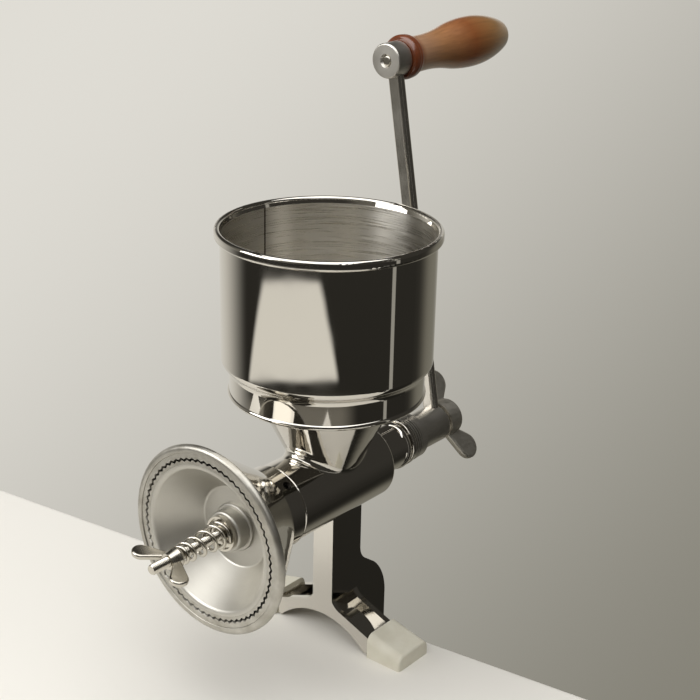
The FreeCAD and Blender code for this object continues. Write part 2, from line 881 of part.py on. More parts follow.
def fixed_burr_housing():
    """Bell on a sleeve round the barrel's spigot, with a rolled lip."""
    body = new_body("fixed_burr_housing")
    bore = d.spigot_radius + d.running_gap
    turn(body, outline(body, "XY_Plane", [
        (bore, d.sleeve_rear),
        (bore, d.chamber_back),
        (d.chamber_radius, d.chamber_back),
        (d.burr_bore_back, d.burr_back),
        (d.seat_depth, d.burr_back),
        (d.seat_mouth, d.burr_front),
        (d.seat_mouth, d.lip_face + d.lip_edge, d.lip_edge),
        (d.seat_mouth + d.lip_edge, d.lip_face),
        (d.lip_radius - d.lip_round, d.lip_face, d.lip_round),
        (d.lip_radius, d.lip_front),
        (d.lip_radius, d.lip_rear, d.lip_round),
        (d.bell_mouth_radius, d.bell_mouth),
        (d.bell_foot_radius, d.bell_foot, -d.bell_foot_round),
        (d.sleeve_radius, d.sleeve_front),
        (d.sleeve_radius, d.sleeve_rear - d.stand_edge),
        (d.sleeve_radius - d.stand_edge, d.sleeve_rear),
    ]))
    hole = disc(body, "YZ_Plane", d.grub_station, 0, d.grub_radius + d.running_gap)
    tapped = cut(body, hole, d.bell_mouth_radius, reverse=True)
    repeat(body, tapped, Size(3, "3"))
    body.Placement = turned_frame(-d.grub_angle.number)


def collar_set_screws():
    """Three grub screws through the sleeve, with hexagon sockets."""
    screws = []
    for index in range(3):
        stem = doc.addObject("Part::Cylinder", f"grub_stem_{index}")
        bind(stem, "Radius", d.grub_radius)
        bind(stem, "Height", d.grub_top - d.grub_tip)
        socket = doc.addObject("Part::Prism", f"grub_socket_{index}")
        socket.Polygon = 6
        bind(socket, "Circumradius", d.grub_socket)
        bind(socket, "Height", d.grub_socket_deep * 2)
        about = Rotation(Vector(0, 1, 0), 90.0 - d.grub_angle.number + 120.0 * index)
        station = Vector(0, d.grub_station.number, 0)
        up = Vector(0, 0, 1)
        stem.Placement = Placement(station + about.multVec(up * d.grub_tip.number), about)
        sunk = d.grub_top.number - d.grub_socket_deep.number
        socket.Placement = Placement(station + about.multVec(up * sunk), about)
        screw = doc.addObject("Part::Cut", f"grub_screw_{index}")
        screw.Base = stem
        screw.Tool = socket
        screws.append(screw)
    group("collar_set_screws", screws)


def burr_teeth(body, solid, radius, front, run, side):
    """V grooves along a burr's cone; side is 1 to cut outwards, -1 to cut inwards."""
    deep = d.tooth_deep * side
    sketch = outline(body, "XZ_Plane", [
        (radius + deep, 0),
        (radius - deep, d.tooth_half * 2),
        (radius - deep, -(d.tooth_half * 2)),
    ], -front)
    groove = feature(body, "Pocket", sketch, Length=(d.burr_back - d.burr_front) * 2)
    groove.AlongSketchNormal = False
    groove.UseCustomVector = True
    groove.Direction = run
    groove.Reversed = False
    before = solid.Shape.Volume
    doc.recompute()
    if groove.Shape.Volume > before - 1e-3:
        raise RuntimeError(f"{body.Label}: the first tooth cuts nothing")
    repeat(body, groove, d.tooth_count)


def fixed_burr():
    """Ring seated in the bell, grooved on its inner cone."""
    body = new_body("fixed_burr")
    gap = d.running_gap
    solid = turn(body, outline(body, "XY_Plane", [
        (d.burr_bore_front, d.burr_front),
        (d.seat_mouth - gap, d.burr_front),
        (d.seat_depth - gap, d.burr_back),
        (d.burr_bore_back, d.burr_back),
    ]))
    run = Vector((d.burr_bore_back - d.burr_bore_front).number, (d.burr_back - d.burr_front).number, 0)
    burr_teeth(body, solid, d.burr_bore_front, d.burr_front, run, 1)


def rotating_burr():
    """Ring round the dish's flange, grooved on its outer cone half a tooth off the fixed ring."""
    half_tooth = 180.0 / d.tooth_count.number
    body = new_body("rotating_burr", turned_frame(half_tooth))
    inside = d.dish_flange + d.running_gap
    solid = turn(body, outline(body, "XY_Plane", [
        (inside, d.disc_front),
        (d.disc_radius_front, d.disc_front),
        (d.disc_radius_back, d.disc_back),
        (dish_outer(d.disc_back), d.disc_back),
        (dish_outer(d.dish_flange_back), d.dish_flange_back),
        (inside, d.dish_flange_back),
    ]))
    run = Vector((d.disc_radius_back - d.disc_radius_front).number, (d.disc_back - d.disc_front).number, 0)
    burr_teeth(body, solid, d.disc_radius_front, d.disc_front, run, -1)


def dish_slope():
    """Radius that the dish's cone gains for each millimetre towards the front."""
    return (d.dish_mouth - d.dish_floor_radius) / (d.dish_floor - d.disc_front)


def dish_outer(station):
    """Radius of the dish's outer cone at one station."""
    return d.dish_mouth + d.dish_wall + dish_slope() * (d.disc_front - station)


def rotating_dish():
    """Pressed dish with a flat flange, a cone and a flat floor with the hub's hole."""
    body = new_body("rotating_dish")
    floor_back = d.dish_floor + d.dish_sheet
    hole = d.hub_tail_radius + d.running_gap
    centre = (hole, d.dish_floor)
    floor_corner = (d.dish_floor_radius, d.dish_floor)
    mouth_corner = (d.dish_mouth, d.disc_front)
    flange = (d.dish_flange, d.disc_front)
    behind_flange = (dish_outer(d.dish_flange_back), d.dish_flange_back)
    behind_corner = (dish_outer(floor_back), floor_back)
    behind_centre = (hole, floor_back)
    turn(body, outline(body, "XY_Plane", [
        centre,
        *rounded(centre, floor_corner, mouth_corner, d.dish_floor_round),
        *rounded(floor_corner, mouth_corner, flange, d.dish_mouth_round),
        flange,
        (d.dish_flange, d.dish_flange_back),
        behind_flange,
        *rounded(behind_flange, behind_corner, behind_centre, d.dish_floor_round + d.dish_sheet),
        behind_centre,
    ]))


def burr_hub():
    """Hub of the dish: boss with a foot flange in front, slotted tail behind for the drive pin."""
    body = new_body("burr_hub")
    bore = d.hub_seat_radius + d.running_gap
    turn(body, outline(body, "XY_Plane", [
        (bore, d.hub_front),
        (d.hub_radius - d.hub_edge, d.hub_front, d.hub_edge),
        (d.hub_radius, d.hub_front + d.hub_edge),
        (d.hub_radius, d.hub_foot_front),
        (d.hub_foot - d.hub_foot_edge, d.hub_foot_front, d.hub_foot_edge),
        (d.hub_foot, d.hub_foot_front + d.hub_foot_edge),
        (d.hub_foot, d.dish_floor),
        (d.hub_tail_radius, d.dish_floor),
        (d.hub_tail_radius, d.hub_tail),
        (bore, d.hub_tail),
    ]))
    slot = outline(body, "YZ_Plane", [
        (d.hub_slot_floor, -d.hub_slot_half),
        (d.hub_tail + 1, -d.hub_slot_half),
        (d.hub_tail + 1, d.hub_slot_half),
        (d.hub_slot_floor, d.hub_slot_half),
    ])
    cut(body, slot, d.hub_radius * 4, both=True)


def drive_pin():
    """Cross pin in the shaft that drives the hub and lets it slide."""
    body = new_body("drive_pin")
    sketch = disc(body, "YZ_Plane", d.pin_station, 0, d.pin_radius)
    extrude(body, sketch, d.pin_half * 2, both=True)


def spring_cup():
    """Shallow cup that seats the spring on the hub."""
    body = new_body("spring_cup")
    bore = d.hub_seat_radius + d.running_gap
    turn(body, outline(body, "XY_Plane", [
        (bore, d.hub_front),
        (bore, d.cup_floor),
        (d.cup_radius - d.cup_wall, d.cup_floor),
        (d.cup_radius - d.cup_wall, d.cup_rim),
        (d.cup_radius, d.cup_rim),
        (d.cup_radius, d.hub_front - d.cup_wall / 2, d.cup_wall / 2),
        (d.cup_radius - d.cup_wall / 2, d.hub_front),
    ]))


def coil_point(share):
    """Centre of the spring's wire at a share of its turns, closer wound at both ends."""
    angle = 2 * math.pi * d.coil_turns.number * share
    radius = d.coil_big.number + (d.coil_small.number - d.coil_big.number) * share
    ease = share - d.coil_closing.number * math.sin(2 * math.pi * share) / (2 * math.pi)
    along = d.coil_start.number + (d.coil_stop.number - d.coil_start.number) * ease
    return Vector(radius * math.cos(angle), along, radius * math.sin(angle))


def coil_heading(share):
    """Unit direction of the wire at a share of its turns."""
    step = 1e-5
    return (coil_point(share + step) - coil_point(share - step)).normalize()


def arc_from(start, corner, stop):
    """Arc tangent to start-corner and corner-stop, whose two legs are equal."""
    middle = (start + stop) * 0.5
    rise = corner - middle
    leg = corner - start
    half_turn = math.asin(min(rise.Length / leg.Length, 1.0))
    radius = leg.Length / math.tan(half_turn)
    crest = middle + rise.normalize() * (radius * (1 - math.cos(half_turn)))
    return Part.Arc(start, crest, stop).toShape(), radius


def biarc(start, start_heading, stop, stop_heading):
    """Two tangent arcs between two points with given headings."""
    gap = stop - start
    both = start_heading + stop_heading
    spread = 2 * (1 - start_heading.dot(stop_heading))
    reach = gap.dot(both)
    leg = (math.sqrt(reach**2 + spread * gap.dot(gap)) - reach) / spread
    first = start + start_heading * leg
    last = stop - stop_heading * leg
    middle = (first + last) * 0.5
    return [arc_from(start, first, middle), arc_from(middle, last, stop)]


def pressure_spring():
    """Conical coil spring: one round wire on tangent arcs, a quarter turn at a time."""
    quarters = int(d.coil_turns.number * 4)
    shares = [index / quarters for index in range(quarters + 1)]
    wire_size = d.wire_diameter.number
    edges = []
    radii = []
    for low, high in zip(shares, shares[1:]):
        arcs = biarc(coil_point(low), coil_heading(low), coil_point(high), coil_heading(high))
        edges += [edge for edge, _ in arcs]
        radii += [radius for _, radius in arcs]
    lead = coil_point(0) - coil_heading(0) * wire_size
    tail = coil_point(1) + coil_heading(1) * wire_size
    edges.insert(0, Part.makeLine(lead, coil_point(0)))
    edges.append(Part.makeLine(coil_point(1), tail))
    path = Part.Wire(edges)
    section = Part.Wire(Part.makeCircle(wire_size / 2, lead, coil_heading(0)))
    tube = path.makePipeShell([section], True, False)
    expected = math.pi * (wire_size / 2) ** 2 * path.Length
    print("spring: tightest bend", round(min(radii), 2), "wire", wire_size)
    print("spring: least gap to itself", round(coil_gap(edges), 2))
    print("spring: volume over wire times length", round(tube.Volume / expected, 4))
    node = doc.addObject("Part::Feature", "pressure_spring")
    node.Label = "pressure_spring"
    node.Shape = tube
    node.Placement = axle_frame()
    NODES.append(node)


def coil_gap(edges):
    """Least clear gap between different turns of the wire, measured on points."""
    points = []
    travelled = 0.0
    for edge in edges:
        for point in edge.discretize(9)[:-1]:
            if points:
                travelled += (point - points[-1][1]).Length
            points.append((travelled, point))
    apart = math.pi * d.coil_small.number
    pairs = ((a, b) for i, a in enumerate(points) for b in points[i + 1:] if b[0] - a[0] > apart)
    return min((b[1] - a[1]).Length for a, b in pairs) - d.wire_diameter.number


def lobe(start, stop, x, y, radius, way):
    """Wing outline: out from start, round a circle and back to stop; way is 1 anticlockwise, -1 clockwise."""
    touches = []
    for point, side in ((start, -way), (stop, way)):
        gap = Vector(x.number - point[0].number, y.number - point[1].number, 0)
        heading = math.atan2(gap.y, gap.x) + side * math.asin(radius.number / gap.Length)
        touches.append(heading + side * math.pi / 2)
    sweep = ((touches[1] - touches[0]) * way) % (2 * math.pi)
    crest = touches[0] + way * sweep / 2
    angles = (touches[0], crest, touches[1])
    rim = [(x + radius * math.cos(angle), y + radius * math.sin(angle)) for angle in angles]
    bend = radius * way
    return [start, (*rim[0], bend), (*rim[1], bend), rim[2], stop]


def wings(body, right, thick, edge, body_radius):
    """Plate of both wings of a wing nut, rounded outside the nut's body."""
    start, touch, crest, leave, stop = right
    bend = touch[2]
    left = [
        (-stop[0], stop[1]),
        (-leave[0], leave[1], bend),
        (-crest[0], crest[1], bend),
        (-touch[0], touch[1]),
        (-start[0], start[1]),
    ]
    plate = extrude(body, outline(body, "XY_Plane", right + left), thick, both=True)
    soften(body, plate, lambda e: is_wing_edge(e, thick.number / 2, body_radius.number), edge)


def is_wing_edge(edge, level, body_radius):
    """Edge in one face of a wing's plate that reaches out beyond the nut's body."""
    box = edge.BoundBox
    in_face = box.ZLength < 1e-6 and abs(abs(box.ZMax) - level) < 1e-3
    return in_face and max(abs(box.XMin), abs(box.XMax)) > body_radius


def adjusting_nut():
    """Front wing nut that sets the pressure on the burrs."""
    body = new_body("adjusting_nut", turned_frame(d.nut_turned.number))
    back = (d.nut_wing_root, d.nut_wing_back)
    low = (d.nut_wing_root, d.nut_wing_low)
    right = lobe(back, low, d.nut_tip_x, d.nut_tip_y, d.nut_tip_round, -1)
    wings(body, right, d.nut_wing_thick, d.nut_wing_edge, d.nut_base)
    turn(body, outline(body, "XY_Plane", [
        (0, d.nut_rear),
        (0, d.nut_front),
        (d.nut_nose, d.nut_front),
        (d.nut_base, d.nut_rear),
    ]))
    bore = disc(body, "XZ_Plane", 0, 0, d.thread_radius + d.running_gap, -d.nut_front)
    cut(body, bore, d.nut_rear - d.nut_front)


# Drive


def drive_shaft():
    """Stepped shaft from the front wing nut to the rear one, drilled for the drive pin."""
    body = new_body("drive_shaft")
    turn(body, outline(body, "XY_Plane", [
        (0, d.shaft_front),
        (d.thread_radius - d.shaft_chamfer, d.shaft_front),
        (d.thread_radius, d.shaft_front + d.shaft_chamfer),
        (d.thread_radius, d.hub_seat_front),
        (d.hub_seat_radius, d.hub_seat_front),
        (d.hub_seat_radius, d.shaft_step),
        (d.shaft_radius, d.shaft_step),
        (d.shaft_radius, d.crank_seat_start),
        (d.hub_seat_radius, d.crank_seat_start),
        (d.hub_seat_radius, d.rear_thread_start),
        (d.thread_radius, d.rear_thread_start),
        (d.thread_radius, d.shaft_rear),
        (0, d.shaft_rear),
    ]))
    hole = disc(body, "YZ_Plane", d.pin_station, 0, d.pin_radius)
    cut(body, hole, d.shaft_radius * 4, both=True)


def feed_auger():
    """Feed screw on the shaft: a core tube and one helical flight."""
    body = new_body("feed_auger")
    bore = d.shaft_radius
    core = outline(body, "XY_Plane", [
        (bore, d.auger_front),
        (d.auger_core, d.auger_front),
        (d.auger_core, d.auger_rear),
        (bore, d.auger_rear),
    ])
    turn(body, core)
    root = d.auger_core - d.stand_edge
    flight = outline(body, "XY_Plane", [
        (root, d.auger_front + 1),
        (d.auger_radius, d.auger_front + 1),
        (d.auger_radius, d.auger_front + d.auger_flight + 1),
        (root, d.auger_front + d.auger_flight + 1),
    ])
    helix = body.newObject("PartDesign::AdditiveHelix", "auger_flight")
    helix.Profile = flight
    helix.ReferenceAxis = (flight, ["V_Axis"])
    helix.Mode = "pitch-turns-angle"
    bind(helix, "Pitch", d.auger_pitch)
    bind(helix, "Turns", d.auger_turns)
    doc.recompute()


def thrust_washers():
    """Stack of thin washers between the bearing neck and the crank's hub."""
    washers = []
    for index in range(int(d.thrust_count.number)):
        disc_solid = doc.addObject("Part::Cylinder", f"thrust_disc_{index}")
        hole = doc.addObject("Part::Cylinder", f"thrust_hole_{index}")
        start = d.thrust_start.number + d.thrust_step.number * index
        for solid, radius in ((disc_solid, d.thrust_radius), (hole, d.shaft_radius)):
            bind(solid, "Radius", radius)
            bind(solid, "Height", d.thrust_thick)
            solid.Placement = Placement(Vector(0, start, 0), Rotation(Vector(1, 0, 0), -90))
        washer = doc.addObject("Part::Cut", f"thrust_washer_{index}")
        washer.Base = disc_solid
        washer.Tool = hole
        washers.append(washer)
    group("thrust_washers", washers)


def crank_hub():
    """Hub of the crank on the shaft's rear seat, with a collar in front."""
    body = new_body("crank_hub", crank_frame())
    bore = d.hub_seat_radius
    turn(body, outline(body, "XY_Plane", [
        (bore, d.crank_seat_start),
        (d.crank_collar_radius, d.crank_seat_start),
        (d.crank_collar_radius, d.crank_collar_rear),
        (d.crank_hub_radius, d.crank_hub_start),
        (d.crank_hub_radius, d.crank_hub_rear - d.crank_hub_edge, d.crank_hub_edge),
        (d.crank_hub_radius - d.crank_hub_edge, d.crank_hub_rear),
        (bore, d.crank_hub_rear),
    ]))


def crank_arm():
    """Straight bar with rounded edges, welded between the hub and the boss."""
    body = new_body("crank_arm", crank_frame())
    half = d.arm_bar_width / 2
    front = d.crank_station - d.arm_bar_thick / 2
    rear = d.crank_station + d.arm_bar_thick / 2
    section = outline(body, "XY_Plane", [
        (-half, front),
        (half, front),
        (half, rear),
        (-half, rear),
    ])
    bar = extrude(body, section, d.crank_radius)
    soften(body, bar, lambda edge: edge.BoundBox.ZLength > d.crank_hub_radius.number, d.arm_bar_edge)
    for height, radius in ((0, d.crank_hub_radius), (d.crank_radius, d.boss_radius)):
        cut(body, disc(body, "XZ_Plane", 0, height, radius), d.crank_radius * 2, both=True)


def crank_boss():
    """Round boss at the crank's end, countersunk in front for the spindle's riveted head."""
    body = new_body("crank_boss", grip_frame())
    turn(body, outline(body, "XY_Plane", [
        (d.spindle_radius, d.boss_front + d.boss_sink_deep),
        (d.boss_sink, d.boss_front),
        (d.boss_radius - d.boss_edge, d.boss_front, d.boss_edge),
        (d.boss_radius, d.boss_front + d.boss_edge),
        (d.boss_radius, d.boss_rear - d.boss_edge, d.boss_edge),
        (d.boss_radius - d.boss_edge, d.boss_rear),
        (d.spindle_radius, d.boss_rear),
    ]))


def grip_spindle():
    """Steel spindle riveted in the boss, on which the grip spins."""
    body = new_body("grip_spindle", grip_frame())
    turn(body, outline(body, "XY_Plane", [
        (0, d.spindle_head),
        (d.spindle_radius - d.boss_edge, d.spindle_head, d.boss_edge),
        (d.spindle_radius, d.spindle_head + d.boss_edge),
        (d.spindle_radius, d.grip_screw_start),
        (0, d.grip_screw_start),
    ]))


def wooden_grip():
    """Turned wooden grip: bead at the crank, slim neck, full belly and round end."""
    body = new_body("wooden_grip", grip_frame())
    bore = d.spindle_radius + d.running_gap
    bead_round = (d.grip_bead_end - d.grip_start) / 2
    turn(body, outline(body, "XY_Plane", [
        (bore, d.grip_start),
        (d.grip_start_radius, d.grip_start, bead_round),
        (d.grip_bead, d.grip_bead_at, bead_round),
        (d.grip_bead_end_radius, d.grip_bead_end),
        (d.grip_neck, d.grip_neck_at, -d.grip_sway_round),
        (d.grip_turn, d.grip_turn_at, d.grip_sway_round),
        (d.grip_belly, d.grip_belly_at, d.grip_tail_round),
        (d.grip_tail, d.grip_tail_at, d.grip_end_round),
        (d.grip_end, d.grip_end_at),
        (bore, d.grip_end_at),
    ]))


def grip_screw():
    """Domed screw head that keeps the grip on its spindle."""
    body = new_body("grip_screw", grip_frame())
    rise = d.grip_screw_end - d.grip_screw_start
    reach = d.grip_screw_radius
    ball = (reach * reach + rise * rise) / (rise * 2)
    turn(body, outline(body, "XY_Plane", [
        (0, d.grip_screw_start),
        (reach, d.grip_screw_start, ball),
        (0, d.grip_screw_end),
    ]))


def rear_wing_nut():
    """Blind wing nut that holds the crank on the shaft."""
    body = new_body("rear_wing_nut", turned_frame(d.cap_nut_turned.number))
    front = (d.cap_wing_root, d.cap_wing_front)
    rear = (d.cap_wing_root_rear, d.cap_wing_rear)
    right = lobe(front, rear, d.cap_wing_x, d.cap_wing_y, d.cap_wing_round, 1)
    wings(body, right, d.cap_wing_thick, d.cap_wing_edge, d.cap_nut_radius)
    turn(body, outline(body, "XY_Plane", [
        (0, d.cap_nut_front),
        (d.cap_nut_radius, d.cap_nut_front),
        (d.cap_nut_radius, d.cap_nut_dome_at, d.cap_nut_dome),
        (d.cap_nut_nose, d.cap_nut_rear),
        (0, d.cap_nut_rear),
    ]))
    bore = disc(body, "XZ_Plane", 0, 0, d.thread_radius + d.running_gap, -d.cap_nut_front)
    cut(body, bore, d.cap_nut_bore_end - d.cap_nut_front)


# Build every sub-part

barrel_housing()
clamp_stand()
foot_cap("right_foot_cap", 1)
foot_cap("left_foot_cap", -1)
hopper()
rear_bush()
clamp_screw()
clamp_pad()
clamp_handle()
fixed_burr_housing()
fixed_burr()
collar_set_screws()
rotating_dish()
rotating_burr()
burr_hub()
drive_pin()
spring_cup()
pressure_spring()
ring("nut_washer", d.thread_radius + d.loose_gap, d.seat_radius, d.seat_rear, d.seat_front)
adjusting_nut()
drive_shaft()
feed_auger()
thrust_washers()
crank_hub()
crank_arm()
crank_boss()
grip_spindle()
wooden_grip()
grip_screw()
ring("crank_washer", d.thread_radius + d.loose_gap, d.washer_radius, d.washer_rear, d.washer_front)
rear_wing_nut()
doc.recompute()

# Check the document, then write one file for each sub-part

for item in doc.Objects:
    if "Invalid" in item.State or "Error" in item.State:
        raise RuntimeError(f"{item.Label}: {item.State}")
for node in NODES:
    if node.Shape.isNull() or not node.Shape.isValid() or node.Shape.Volume <= 0:
        raise RuntimeError(f"{node.Label}: bad shape")

os.makedirs("parts", exist_ok=True)
for node in NODES:
    node.Shape.exportStep(f"parts/{node.Label}.step")
    print(node.Label, len(node.Shape.Solids), "solid(s)", round(node.Shape.Volume, 1), "mm3")
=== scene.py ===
# %% [markdown]
# # A hand grain mill on the edge of a table
#
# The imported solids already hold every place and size, so this lesson does not
# move them. It adds what the eye needs on top: finishes for polished sheet, buffed
# castings, blasted steel, plated wire, varnished wood and rubber, real threads, a
# wound spring, and a plain pale table under soft light.

# %% Load the fixed frame
import json
import math

import bmesh
import bpy
from mathutils import Matrix, Vector

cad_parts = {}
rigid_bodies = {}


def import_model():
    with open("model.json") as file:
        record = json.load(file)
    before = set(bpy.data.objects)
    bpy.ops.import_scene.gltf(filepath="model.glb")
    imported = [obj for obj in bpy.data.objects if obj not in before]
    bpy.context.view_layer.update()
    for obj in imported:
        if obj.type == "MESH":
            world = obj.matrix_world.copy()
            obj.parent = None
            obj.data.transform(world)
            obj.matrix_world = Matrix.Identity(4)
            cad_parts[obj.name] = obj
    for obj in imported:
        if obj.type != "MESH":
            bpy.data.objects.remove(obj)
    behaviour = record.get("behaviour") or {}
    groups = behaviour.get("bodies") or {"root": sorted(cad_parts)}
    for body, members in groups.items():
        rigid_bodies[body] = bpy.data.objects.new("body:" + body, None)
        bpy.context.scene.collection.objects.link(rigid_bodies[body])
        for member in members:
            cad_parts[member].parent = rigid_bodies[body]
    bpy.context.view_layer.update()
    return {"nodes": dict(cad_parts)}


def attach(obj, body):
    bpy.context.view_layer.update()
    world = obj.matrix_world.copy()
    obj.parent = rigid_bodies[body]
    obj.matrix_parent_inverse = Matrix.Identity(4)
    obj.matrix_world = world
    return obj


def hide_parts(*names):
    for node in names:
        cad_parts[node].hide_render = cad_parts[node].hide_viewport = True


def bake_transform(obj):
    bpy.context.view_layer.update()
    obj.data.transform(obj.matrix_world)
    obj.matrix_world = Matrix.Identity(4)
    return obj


for leftover in list(bpy.data.objects):
    bpy.data.objects.remove(leftover)
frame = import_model()
nodes = frame["nodes"]
MM = 0.001
AXLE_MM = 106
AXLE = Vector((0, 0, AXLE_MM * MM))

# %% [markdown]
# ## Camera
#
# The picture was taken by hand from the front right, a little above the hopper's
# rim. A camera could be set by eye, but circles such as the rim and the dish fix it
# much better, because their tilt gives the direction and their size the distance.
# The numbers found that way are set here directly: a turn, a height, a slight roll
# and the length of the lens in pixels.

# %% Camera
TURN = math.radians(38.91)
HEIGHT = math.radians(21.70)
ROLL = math.radians(1.26)
LENS_PIXELS = 1464.92
PICTURE_PIXELS = 700
SENSOR_MM = 36
BACK_OFF = 865.47 * MM
SHIFT_RIGHT = 12.98 * MM
SHIFT_UP = 76.73 * MM
NEAREST, FARTHEST = 10 * MM, 50

level_part = math.cos(HEIGHT)
back = Vector((math.sin(TURN) * level_part, -math.cos(TURN) * level_part, math.sin(HEIGHT)))
right = Vector((math.cos(TURN), math.sin(TURN), 0))
up = back.cross(right)
camera_right = right * math.cos(ROLL) + up * math.sin(ROLL)
camera_up = up * math.cos(ROLL) - right * math.sin(ROLL)
turned = Matrix((camera_right, camera_up, back)).transposed().to_4x4()
stand_at = AXLE + back * BACK_OFF + right * SHIFT_RIGHT + up * SHIFT_UP

camera = bpy.data.objects.new("camera", bpy.data.cameras.new("camera"))
bpy.context.scene.collection.objects.link(camera)
camera.matrix_world = Matrix.Translation(stand_at) @ turned
camera.data.sensor_width = SENSOR_MM
camera.data.lens = LENS_PIXELS / PICTURE_PIXELS * SENSOR_MM
camera.data.clip_start = NEAREST
camera.data.clip_end = FARTHEST
bpy.context.scene.camera = camera
bpy.context.scene.view_settings.view_transform = "Standard"
print("camera:", [round(v, 3) for v in stand_at], "lens", round(camera.data.lens, 1), "mm")

# %% [markdown]
# ## Tools for finishes
#
# A finish is a small tree of shader nodes. Such a tree could be drawn by hand in the
# shader editor, but a few lines of code say the same and can be read again. One
# function adds a node and fills its sockets. Another turns an sRGB hex colour, as
# read from a colour card, into the linear colour that a shader works with.

# %% Colours and nodes


def linear(hex_colour):
    """Linear colour of an sRGB hex value."""
    channels = [int(hex_colour[i : i + 2], 16) / 255 for i in (1, 3, 5)]
    bent = [c / 12.92 if c <= 0.04045 else ((c + 0.055) / 1.055) ** 2.4 for c in channels]
    return (*bent, 1.0)


def per_mm(size_mm):
    """Scale of a pattern whose blotches are about size_mm across."""
    return 1 / (size_mm * MM)


def plug(tree, node, sockets):
    """Fills sockets with a value, an output, or a node, which gives its first output."""
    for name, value in sockets.items():
        if isinstance(value, bpy.types.Node):
            value = value.outputs[0]
        if isinstance(value, bpy.types.NodeSocket):
            tree.links.new(value, node.inputs[name])
        else:
            node.inputs[name].default_value = value


def add(tree, kind, sockets=(), **settings):
    """Adds a shader node with its settings and its sockets."""
    node = tree.nodes.new("ShaderNode" + kind)
    for name, value in settings.items():
        setattr(node, name, value)
    plug(tree, node, dict(sockets))
    return node


print("mid grey #808080 is", round(linear("#808080")[0], 3), "in linear light")

# %% [markdown]
# ## Starting a finish
#
# Every finish here starts alike: one Principled shader with a mean colour and its
# plain levels, and coordinates in metres, so that a pattern's scale can be worked
# out from a real size. Putting the finish on a solid only fills its material slot,
# so the solid's mesh stays as it is.

# %% New finish, dressed solids


def new_finish(name, colour, **levels):
    """A material with its mean colour and the shader's plain levels."""
    material = bpy.data.materials.new(name)
    material.use_nodes = True
    tree = material.node_tree
    shader = tree.nodes["Principled BSDF"]
    plug(tree, shader, {"Base Color": linear(colour)})
    plug(tree, shader, {socket.replace("_", " "): level for socket, level in levels.items()})
    place = add(tree, "TexCoord").outputs["Object"]
    return material, tree, shader, place


def dress(material, *names):
    """Puts one finish on whole solids."""
    for name in names:
        slots = nodes[name].data.materials
        slots.clear()
        slots.append(material)
    print("dressed in", material.name + ":", ", ".join(names))


# %% [markdown]
# ## Lines left by turning
#
# Spun, turned and brushed metal carries fine lines that run round its axis. A wave
# texture would give even rings, like a record, but real lines vary. Noise gives them
# when its coordinates change slowly round the axis and quickly along it. The
# direction from the axis, not the angle, goes in, so there is no jump after one turn.

# %% Turning lines


def turning_lines(tree, place, upright, spacing_mm, sweep):
    """Noise drawn out round an axis: upright through the origin, or along the barrel."""
    centre = (0, 0, 0) if upright else tuple(AXLE)
    axis = Vector((0, 0, 1)) if upright else Vector((0, 1, 0))
    flat = Vector((1, 1, 1)) - axis
    fine = per_mm(spacing_mm)
    local = add(tree, "VectorMath", {0: place, 1: centre}, operation="SUBTRACT")
    radial = add(tree, "VectorMath", {0: local, 1: tuple(flat)}, operation="MULTIPLY")
    heading = add(tree, "VectorMath", {0: radial}, operation="NORMALIZE")
    swept = add(tree, "VectorMath", {0: heading, 1: (sweep,) * 3}, operation="MULTIPLY")
    stack = {0: local, 1: tuple(axis * fine), 2: swept}
    stacked = add(tree, "VectorMath", stack, operation="MULTIPLY_ADD")
    reach = add(tree, "VectorMath", {0: radial}, operation="LENGTH").outputs["Value"]
    depth = add(tree, "Math", {0: reach, 1: fine}, operation="MULTIPLY")
    sockets = {"Vector": stacked, "W": depth, "Scale": 1.0, "Detail": 3.0}
    return add(tree, "TexNoise", sockets, noise_dimensions="4D")


# %% [markdown]
# ## Stainless steel, buffed
#
# The stand, bell and barrel are castings buffed on a wheel. Stainless steel reflects
# a little over half of the light and slightly warmly. A perfect mirror would look
# drawn by a computer: hand buffing leaves the surface gently wavy, so reflections
# wobble, and smears make it cloudy here and there. Both are noise, one in the bump
# and one in the roughness. Noise mostly lies between 0.3 and 0.7, so that stretch of
# it is mapped to the levels of each finish.

# %% Buffed steel
NOISE = {"From Min": 0.3, "From Max": 0.7}
SMEAR_MM = 26


def buffed_steel(name, wave_mm, wave_depth_mm, drawn_out=(1, 1, 1), smears=(0.04, 0.10)):
    """Polished stainless steel with a hand-buffed wave, drawn out along an axis."""
    material, tree, shader, place = new_finish(name, "#D0CCC4", Metallic=1.0)
    smear = add(tree, "TexNoise", {"Vector": place, "Scale": per_mm(SMEAR_MM), "Detail": 2.0})
    levels = {"To Min": smears[0], "To Max": smears[1]}
    gloss = add(tree, "MapRange", {"Value": smear, **NOISE, **levels})
    squeezed = tuple(1 / share for share in drawn_out)
    drawn = add(tree, "VectorMath", {0: place, 1: squeezed}, operation="MULTIPLY")
    wave = add(tree, "TexNoise", {"Vector": drawn, "Scale": per_mm(wave_mm), "Detail": 1.0})
    wavy = add(tree, "Bump", {"Height": wave, "Distance": wave_depth_mm * MM, "Strength": 1.0})
    plug(tree, shader, {"Roughness": gloss, "Normal": wavy})
    return material


casting = buffed_steel("stainless_casting_buffed", wave_mm=9, wave_depth_mm=0.05)
dress(casting, "clamp_stand", "fixed_burr_housing")
along_barrel = {"wave_mm": 5, "wave_depth_mm": 0.04, "drawn_out": (1, 12, 1)}
barrel_steel = buffed_steel("stainless_barrel_buffed", **along_barrel)
dress(barrel_steel, "barrel_housing")

# %% [markdown]
# ## The crank's steel
#
# The crank's arm is bar stock buffed lengthways, so its wave is drawn out along it.
# Its hub, boss and washers come satin from the lathe. They could share the castings'
# finish, but their smears are stronger, which keeps them duller than the barrel.

